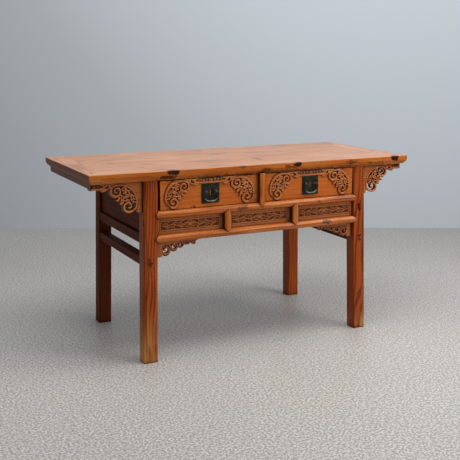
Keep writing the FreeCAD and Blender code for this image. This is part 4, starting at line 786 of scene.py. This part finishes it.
# Struts and the upright between the drawers: half round, over the rails, to a point
STRUT_PROUD = 7.5 * MM
STRUT_LAP = 3.6 * MM
STRUT_TIP = 15 * MM
STRUT_TIP_BLUNTNESS = 0.02
STRUT_TIP_CURVE = 0.62
STRUT_TIP_DROP = 1.2 * MM
STRUT_BULGE_SHARE = 0.62
STRUT_BULGE_CURVE = 1.2
# How dark the strut's sides, tips and back are painted, as a made-up depth in mm: painted shade round the
# strut, with some grime.
STRUT_SHADE_AND_GRIME = 5.0
SIDE_SHADE_AND_GRIME_CURVE = 2
TIP_SHADE_AND_GRIME_CURVE = 1.5
STRUT_STEPS = 20
STRUT_LEVELS = 60
RAIL_CROWN = 15 * MM


def rail_front(node, z):
    """How far forward a half round rail's surface stands at a height."""
    low, high = node_box(node)
    share = min(1.0, abs(2 * z - low.z - high.z) / (high.z - low.z))
    return low.y + RAIL_CROWN * (1 - math.sqrt(1 - share * share))


def tip_width(distance):
    """Width of a strut at a distance from its point, as a share of its full width."""
    return min(1.0, (distance / STRUT_TIP + STRUT_TIP_BLUNTNESS) ** STRUT_TIP_CURVE)


def strut(name, node, material, tip_low, tip_high):
    """Half round post. Each tip is how far it runs on past the CAD solid's end, or None
    where that end is square."""
    low, high = node_box(node)
    middle = (low.x + high.x) / 2
    half = (high.x - low.x) / 2
    front = low.y - STRUT_PROUD
    bottom = low.z - (tip_low or 0)
    top = high.z + (tip_high or 0)
    vertices = []
    painted_shade_depth = []
    for z in np.linspace(bottom, top, STRUT_LEVELS):
        share = min(1.0 if tip_low is None else tip_width(z - bottom),
                    1.0 if tip_high is None else tip_width(top - z))
        bulge = share * (STRUT_BULGE_SHARE * half)
        nose = min(front + (1 - share) * STRUT_TIP_DROP, rail_front("front_rail_upper", z) - STRUT_LAP,
                   rail_front("front_rail_lower", z) - STRUT_LAP)
        for step in range(STRUT_STEPS + 1):
            angle = math.pi * step / STRUT_STEPS
            vertices.append((middle - half * share * math.cos(angle),
                             nose + bulge * (1 - math.sin(angle)) ** STRUT_BULGE_CURVE, z))
            # Painted shade and grime, full along the sides and at the tips, carried in the depth attribute
            # that the wood material darkens by.
            painted_shade_depth.append(STRUT_SHADE_AND_GRIME * max((1 - math.sin(angle)) ** SIDE_SHADE_AND_GRIME_CURVE,
                                            (1 - share) ** TIP_SHADE_AND_GRIME_CURVE))
        vertices.append((middle + half * share, high.y, z))
        vertices.append((middle - half * share, high.y, z))
        painted_shade_depth.extend((STRUT_SHADE_AND_GRIME, STRUT_SHADE_AND_GRIME))
    piece = new_piece(name, vertices, tube_faces(STRUT_LEVELS, STRUT_STEPS + 3), material)
    piece.data.set_sharp_from_angle(angle=TURNED_CREASE)
    piece.data.attributes.new("painted_shade_depth", "FLOAT", "POINT").data.foreach_set("value", painted_shade_depth)
    stand_for(piece, node, "frame")


# Drop handles: a rod that swells towards its lowest point
BAIL_SHOULDER = 6 * MM
BAIL_ROD = 2.4 * MM
BAIL_BELLY = 3.0 * MM
BAIL_FLATNESS = 0.72
BAIL_SPREAD = 1.5 * MM
BAIL_STUB_SHARE = 0.40
BAIL_SWELL_CURVE = 1.5
BAIL_STUB_STEPS = 6
BAIL_SHOULDER_STEPS = 8
BAIL_BOW_STEPS = 22
BAIL_STEPS_AROUND = 16


def bail(name, node, body, material):
    low, high = node_box(node)
    middle = (low + high) / 2
    reach = (high.x - low.x) / 2 - BAIL_ROD + BAIL_SPREAD
    level = high.z - BAIL_ROD
    lowest = low.z + BAIL_ROD
    stub = BAIL_STUB_SHARE * reach
    bend = level - BAIL_SHOULDER
    path = [(-stub + (stub - reach + BAIL_SHOULDER) * share, level)
            for share in np.linspace(0, 1, BAIL_STUB_STEPS)]
    for turn in np.linspace(0, math.pi / 2, BAIL_SHOULDER_STEPS)[1:]:
        path.append((-reach + BAIL_SHOULDER * (1 - math.sin(turn)), bend + BAIL_SHOULDER * math.cos(turn)))
    for turn in np.linspace(0, math.pi / 2, BAIL_BOW_STEPS)[1:]:
        path.append((-reach * math.cos(turn) ** BAIL_FLATNESS, bend - (bend - lowest) * math.sin(turn)))
    path += [(-x, z) for x, z in path[-2::-1]]
    path = np.array(path)
    ahead = np.gradient(path, axis=0)
    ahead /= np.linalg.norm(ahead, axis=1)[:, None]
    fall = np.clip((bend - path[:, 1]) / (bend - lowest), 0, 1)
    thick = BAIL_ROD + (BAIL_BELLY - BAIL_ROD) * fall ** BAIL_SWELL_CURVE
    vertices = []
    for (x, z), (run, rise), radius in zip(path, ahead, thick):
        for step in range(BAIL_STEPS_AROUND):
            angle = 2 * math.pi * step / BAIL_STEPS_AROUND
            out = radius * math.cos(angle)
            vertices.append((middle.x + x - rise * out, middle.y + radius * math.sin(angle), z + run * out))
    piece = new_piece(name, vertices, tube_faces(len(path), BAIL_STEPS_AROUND), material)
    piece.data.set_sharp_from_angle(angle=TURNED_CREASE)
    stand_for(piece, node, body)


# Stains and knots that the eye catches, and thin dark lines of painted shade: place on the table, radii and
# darkness
EDGE_SPOTS = (
    ((-0.432, -0.349, 0.836), (0.036, 0.03, 0.021), 0.95),
    ((-0.455, -0.345, 0.811), (0.052, 0.03, 0.01), 0.85),
    ((0.182, -0.349, 0.832), (0.022, 0.03, 0.017), 0.95),
    ((0.148, -0.347, 0.822), (0.046, 0.03, 0.009), 0.6),
    ((0.02, -0.346, 0.815), (0.034, 0.03, 0.01), 0.7),
    ((0.478, -0.347, 0.824), (0.034, 0.03, 0.013), 0.6),
    ((0.726, -0.349, 0.832), (0.026, 0.05, 0.021), 0.95),
    # A long thin dark line along the lower part of the top's edge moulding: painted shade.
    ((0.1, -0.349, 0.803), (0.62, 0.04, 0.007), 0.55),
    ((-0.1, -0.349, 0.836), (0.02, 0.03, 0.007), 0.5),
    ((0.62, -0.349, 0.812), (0.06, 0.03, 0.006), 0.5))
TOP_SPOTS = (
    ((0.075, -0.155, 0.84), (0.014, 0.06, 0.02), 0.75),
    ((-0.04, 0.275, 0.84), (0.05, 0.016, 0.02), 0.6),
    ((-0.6, -0.02, 0.84), (0.02, 0.02, 0.02), 0.5),
    ((0.02, 0.13, 0.84), (0.06, 0.012, 0.02), 0.5),
    ((-0.52, -0.19, 0.84), (0.02, 0.014, 0.02), 0.4),
    ((0.34, 0.1, 0.84), (0.04, 0.012, 0.02), 0.45),
    ((-0.25, 0.207, 0.84), (0.42, 0.01, 0.02), 0.8),
    ((0.25, 0.207, 0.84), (0.3, 0.008, 0.02), 0.7),
    ((0.35, -0.02, 0.84), (0.05, 0.012, 0.02), 0.4),
    ((-0.3, -0.06, 0.84), (0.06, 0.008, 0.02), 0.3))
LEG_FL_SPOTS = (
    ((-0.572, -0.341, 0.62), (0.01, 0.03, 0.022), 0.95),
    ((-0.541, -0.345, 0.446), (0.014, 0.03, 0.026), 0.7))
LEG_FR_SPOTS = (
    ((0.534, -0.342, 0.606), (0.012, 0.02, 0.03), 0.9),
    ((0.536, -0.343, 0.453), (0.011, 0.02, 0.022), 0.8),
    ((0.541, -0.345, 0.18), (0.01, 0.02, 0.014), 0.5))
UPPER_RAIL_SPOTS = (
    ((-0.1, -0.345, 0.65), (0.036, 0.03, 0.016), 0.6),
    ((0.3, -0.345, 0.645), (0.018, 0.03, 0.009), 0.4))
DRAWER_SPOTS = (
    ((-0.33, -0.331, 0.672), (0.016, 0.02, 0.006), 0.8),
    # Long thin dark lines along each drawer's top edge, under the top: painted shade of the gap there.
    ((-0.25, -0.331, 0.799), (0.3, 0.03, 0.007), 0.9),
    ((0.259, -0.331, 0.799), (0.3, 0.03, 0.007), 0.9))
LOWER_RAIL_SPOTS = (((0.345, -0.347, 0.55), (0.03, 0.03, 0.012), 0.75),)

PATINA = (srgb(24, 23, 19), srgb(42, 42, 34), srgb(64, 66, 52))
RUBBED = (srgb(88, 90, 76), srgb(124, 128, 110), srgb(150, 154, 134))
POSTS = (srgb(52, 52, 43), srgb(76, 78, 65), srgb(98, 102, 86))
HANDLED_HEIGHTS = (0.697, 0.712)
TOP_BANDS = 0.28
LEG_BANDS = 0.36
DRAWER_BANDS = 0.10
bronze_patina = bronze("bronze_patina", PATINA, 0.25)
bronze_rubbed = bronze("bronze_rubbed", PATINA, 0.6, RUBBED, HANDLED_HEIGHTS)
bronze_posts = bronze("bronze_posts", POSTS, 0.6)
MATERIALS = {
    "top_frame_front": wood("top_front_wood", "top", "x", (-0.28, 0.70), 1, TOP_SPOTS + EDGE_SPOTS,
                            bands=TOP_BANDS, sides="frame"),
    "top_frame_rear": wood("top_rear_wood", "top", "x", (0.30, 0.72), 2, TOP_SPOTS[1:2], sides="frame"),
    # The left end's sides take the darker end look where the right end's take the frame look: painted shade.
    "top_frame_left": wood("top_left_wood", "top", "y", (-0.75, 0.74), 3, sides="end"),
    "top_frame_right": wood("top_right_wood", "top", "y", (0.75, 0.74), 4, EDGE_SPOTS[-2:-1], sides="frame"),
    "top_board_front": wood("board_front_wood", "top", "x", (-0.11, 0.73), 5, TOP_SPOTS, bands=TOP_BANDS),
    "top_board_rear": wood("board_rear_wood", "top", "x", (0.10, 0.74), 6, TOP_SPOTS, bands=TOP_BANDS),
    "leg_front_left": wood("leg_fl_wood", "leg", "z", (-0.60, -0.22), 7, LEG_FL_SPOTS,
                           bands=LEG_BANDS, feet=0.26),
    "leg_front_right": wood("leg_fr_wood", "leg", "z", (0.50, -0.22), 8, LEG_FR_SPOTS,
                            bands=LEG_BANDS, feet=0.10),
    # The rear left leg takes the dark look where the rear right leg takes the leg look: painted shade.
    "leg_rear_left": wood("leg_rl_wood", "dark", "z", (-0.60, 0.22), 9),
    "leg_rear_right": wood("leg_rr_wood", "leg", "z", (0.50, 0.22), 10),
    "front_rail_upper": wood("rail_upper_wood", "frame", "x", (-0.22, 0.60), 11, UPPER_RAIL_SPOTS),
    "front_rail_lower": wood("rail_lower_wood", "frame", "x", (-0.22, 0.62), 12, LOWER_RAIL_SPOTS),
    "drawer_divider": wood("divider_wood", "frame", "z", (0.10, -0.20), 13),
    "waist_strut": wood("strut_wood", "frame", "z", (0.05, -0.20), 14),
    # The side panels, rails and stretchers take the dark look: their darker wood with painted shade in it.
    "side_panel": wood("side_panel_wood", "dark", "y", (-0.40, 0.60), 15),
    "side_rail": wood("side_rail_wood", "dark", "y", (-0.40, 0.50), 16),
    "side_stretcher": wood("stretcher_wood", "dark", "y", (-0.40, 0.40), 17),
    # The aprons at the ends take the darker end look: painted shade.
    "end_apron": wood("apron_wood", "end", "y", (-0.60, 0.70), 18),
    "drawer_left_front": wood("drawer_left_wood", "drawer", "x", (-0.20, 0.66), 19, DRAWER_SPOTS,
                              bands=DRAWER_BANDS),
    "drawer_right_front": wood("drawer_right_wood", "drawer", "x", (-0.22, 0.78), 20, DRAWER_SPOTS,
                               bands=DRAWER_BANDS),
    "hidden_x": wood("hidden_x_wood", "hidden", "x", (0.20, 0.40), 21),
    "hidden_y": wood("hidden_y_wood", "hidden", "y", (0.20, 0.50), 22),
    "carved": wood("carved_wood", "carved", "x", (-0.20, 0.60), 23),
    "waist": wood("waist_wood", "waist", "x", (-0.20, 0.50), 24, bands=0.12, carved=(1.1, 4.6)),
}
HIDDEN_Y = ("drawer_runner", "top_batten", "_side_left", "_side_right")


def node_material(node):
    """Material of a CAD node: its own, its kind's or bare wood."""
    if node.endswith("_bail_posts"):
        return bronze_posts
    if node.endswith("_lock_plate"):
        return bronze_patina
    for stem, material in MATERIALS.items():
        if node.startswith(stem):
            return material
    if any(part in node for part in HIDDEN_Y):
        return MATERIALS["hidden_y"]
    return MATERIALS["hidden_x"]


for node_name, node_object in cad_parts.items():
    node_object.data.materials.clear()
    node_object.data.materials.append(node_material(node_name))

# Carved boards, in the places and with the drops of the boards that they stand for
UNDERSIDE = 0.800
SPANDREL_DROP = 0.137
MASS_DROP = 0.132
MASS_CORNER = 0.2376
BRACKET_DROP = 0.068
SPANDREL_RISE = 9.0 * MM
MASS_RISE = 6.6 * MM
BRACKET_RISE = 6.5 * MM
SPANDREL_ARM_END = 1.62
MASS_STEP = 0.9 * MM
BRACKET_STEP = 0.7 * MM
WAIST_STEP = 1.0 * MM
DIVIDER_TIP = 5 * MM
WAIST_TIP = 2 * MM


def make_carvings():
    carved = MATERIALS["carved"]
    for side, way in (("left", -1), ("right", 1)):
        node = "side_spandrel_" + side
        low, high = node_box(node)
        corner = high.x if way < 0 else low.x
        shape = mass_shape(board_outline(node), [corner], [way], UNDERSIDE, SPANDREL_DROP, SPANDREL_RISE,
                           SPANDREL_ARM_END)
        carve("spandrel_carving_" + side, node, "frame", carved, shape, MASS_STEP)

        node = "corner_bracket_" + side
        low, high = node_box(node)
        corner = low.x if way < 0 else high.x
        shape = bracket_shape(board_outline(node), corner, -way, high.z, BRACKET_DROP, BRACKET_RISE)
        carve("bracket_carving_" + side, node, "frame", carved, shape, BRACKET_STEP)

        node = "drawer_%s_carving" % side
        low, high = node_box(node)
        middle = (low.x + high.x) / 2
        shape = mass_shape(board_outline(node), [middle - MASS_CORNER, middle + MASS_CORNER], [1, -1],
                           UNDERSIDE, MASS_DROP, MASS_RISE, MASS_CORNER / MASS_DROP)
        carve("drawer_scrolls_" + side, node, "drawer_" + side, carved, shape, MASS_STEP)
        bail("drop_handle_" + side, "drawer_%s_bail" % side, "bail_" + side, bronze_rubbed)
    strut("divider_post", "drawer_divider", MATERIALS["drawer_divider"], DIVIDER_TIP, None)
    for side in ("left", "right"):
        strut("strut_" + side, "waist_strut_" + side, MATERIALS["waist_strut"], WAIST_TIP, WAIST_TIP)
    for bay in ("left", "middle", "right"):
        node = "waist_panel_" + bay
        carve(node + "_carved", node, "frame", MATERIALS["waist"], waist_shape(node), WAIST_STEP)


make_carvings()

# Camera: from the front left, at the photograph's height and angle
CAMERA_PLACE = Vector((-1.78097, -3.59940, 1.32409))
CAMERA_YAW = 0.4617
CAMERA_PITCH = 0.1902
FOCAL_PIXELS = 836.47
IMAGE_SIDE = 460
IMAGE_MIDDLE_ROW = 215
SENSOR = 36.0


def make_camera():
    data = bpy.data.cameras.new("camera")
    data.sensor_width = SENSOR
    data.lens = FOCAL_PIXELS * SENSOR / IMAGE_SIDE
    data.shift_y = (IMAGE_MIDDLE_ROW - IMAGE_SIDE / 2) / IMAGE_SIDE
    camera = bpy.data.objects.new("camera", data)
    camera.location = CAMERA_PLACE
    camera.rotation_euler = (math.pi / 2 - CAMERA_PITCH, 0, -CAMERA_YAW)
    bpy.context.scene.collection.objects.link(camera)
    bpy.context.scene.camera = camera


# Stage: a speckled grey floor whose far edge meets a plain backdrop
FLOOR_BEHIND = 2.33
FLOOR_REACH = 9.0
FLOOR_ROUGHNESS = 0.48
FLOOR_DARK = srgb(158, 155, 152)
FLOOR_PALE = srgb(215, 212, 209)
FLOOR_GRAIN = (112.0, 2.0)
FLOOR_GRAIN_FADE = (0.40, 0.60)

# Speckles and clouds on the floor: noise scale and detail, where they start and are
# full, strength and colour
FLOOR_MARKS = (
    (170.0, 1.0, (0.58, 0.68), 0.6, srgb(118, 114, 112)),
    (1.3, 2.0, (0.35, 0.65), 0.08, srgb(150, 150, 150)),
)


def floor_material():
    material, s, place = new_material("floor_grey")
    colour = s.mix(s.band(s.noise(place, *FLOOR_GRAIN), *FLOOR_GRAIN_FADE), FLOOR_DARK, FLOOR_PALE)
    for scale, detail, fade, strength, mark in FLOOR_MARKS:
        marked = s.maths("MULTIPLY", s.band(s.noise(place, scale, detail), *fade), strength)
        colour = s.mix(marked, colour, mark)
    shader = s.node("ShaderNodeBsdfPrincipled", {"Base Color": colour})
    shader.inputs["Roughness"].default_value = FLOOR_ROUGHNESS
    s.node("ShaderNodeOutputMaterial", {0: shader.outputs[0]})
    return material


def make_stage():
    ahead = Vector((math.sin(CAMERA_YAW), math.cos(CAMERA_YAW), 0))
    across = Vector((ahead.y, -ahead.x, 0))
    corners = [across * -FLOOR_REACH - ahead * FLOOR_REACH, across * FLOOR_REACH - ahead * FLOOR_REACH,
               across * FLOOR_REACH + ahead * FLOOR_BEHIND, across * -FLOOR_REACH + ahead * FLOOR_BEHIND]
    floor = new_piece("floor", [tuple(corner) for corner in corners], [[0, 1, 2, 3]], floor_material(), False)


# Light from all round, stronger from the right, and the backdrop's greys
ROOM_SHARE = 0.15
FILL_STRENGTH = 0.385
FILL_SLANT = 0.17
FILL_COLOUR = srgb(232, 235, 238)
BACKDROP_STOPS = [(0.0, srgb(140, 143, 148)), (0.5, srgb(164, 169, 173)), (1.0, srgb(202, 209, 216))]
BACKDROP_LEVEL = 0.77
BACKDROP_RISE = 1.5
BACKDROP_CURVE = -2.7
WALL_FADE = (-0.25, 0.30)


def make_world():
    """Plain light all round, and a grey backdrop that is paler to the upper right."""
    world = bpy.data.worlds.new("studio")
    bpy.context.scene.world = world
    world.use_nodes = True
    s = Shader(world.node_tree)
    facing = s.node("ShaderNodeTexCoord").outputs["Generated"]
    across = (math.cos(CAMERA_YAW), -math.sin(CAMERA_YAW), 0.0)
    ahead = (math.sin(CAMERA_YAW), math.cos(CAMERA_YAW), 0.0)
    right = s.dot(facing, across)
    towards_wall = s.dot(facing, ahead)
    up = s.node("ShaderNodeSeparateXYZ", {0: facing}).outputs[2]
    pale = s.maths("ADD", right, s.maths("MULTIPLY_ADD", up, BACKDROP_RISE, BACKDROP_LEVEL))
    pale = s.maths("MULTIPLY_ADD", s.maths("MULTIPLY", right, right), BACKDROP_CURVE, pale, clamp=True)
    colour = s.ramp(pale, BACKDROP_STOPS)
    seen = s.node("ShaderNodeLightPath")
    wall = s.maths("MULTIPLY_ADD", s.band(towards_wall, *WALL_FADE), 1.0 - ROOM_SHARE, ROOM_SHARE)
    wall = s.maths("MAXIMUM", wall, seen.outputs["Is Camera Ray"])
    backdrop = s.node("ShaderNodeBackground", {"Color": colour, "Strength": wall})
    filling = s.maths("MULTIPLY_ADD", right, FILL_SLANT, FILL_STRENGTH)
    fill = s.node("ShaderNodeBackground", {"Color": FILL_COLOUR, "Strength": filling})
    shown = s.maths("MAXIMUM", seen.outputs["Is Camera Ray"], seen.outputs["Is Glossy Ray"])
    shown = s.maths("MAXIMUM", shown, seen.outputs["Is Transmission Ray"])
    both = s.node("ShaderNodeMixShader", {0: shown, 1: fill.outputs[0], 2: backdrop.outputs[0]})
    s.node("ShaderNodeOutputWorld", {0: both.outputs[0]})


# Lamps: place, target, width and height in metres, and power in watts
LAMP_COLOUR = (1.0, 0.97, 0.93)
LAMPS = {
    "overhead": ((-0.3, -0.6, 3.0), (-0.15, -0.2, 0.4), (2.4, 1.6), 53),
    "above_right": ((1.7, -0.9, 2.4), (0.1, -0.3, 0.6), (0.8, 0.8), 15),
    "front_right": ((2.0, -2.7, 2.1), (0.0, 0.0, 0.5), (1.4, 1.2), 34),
    "behind_right": ((2.3, 1.5, 2.2), (0.2, -0.2, 0.7), (1.4, 1.0), 4),
}


def soft_light(name, place, target, size, power):
    data = bpy.data.lights.new(name, "AREA")
    data.shape = "RECTANGLE"
    data.size, data.size_y = size
    data.energy = power
    data.color = LAMP_COLOUR
    lamp = bpy.data.objects.new(name, data)
    lamp.location = place
    lamp.rotation_euler = (Vector(target) - Vector(place)).to_track_quat("-Z", "Y").to_euler()
    bpy.context.scene.collection.objects.link(lamp)


make_camera()
make_stage()
make_world()
for lamp_name, settings in LAMPS.items():
    soft_light(lamp_name, *settings)

bpy.context.scene.view_settings.view_transform = "Standard"
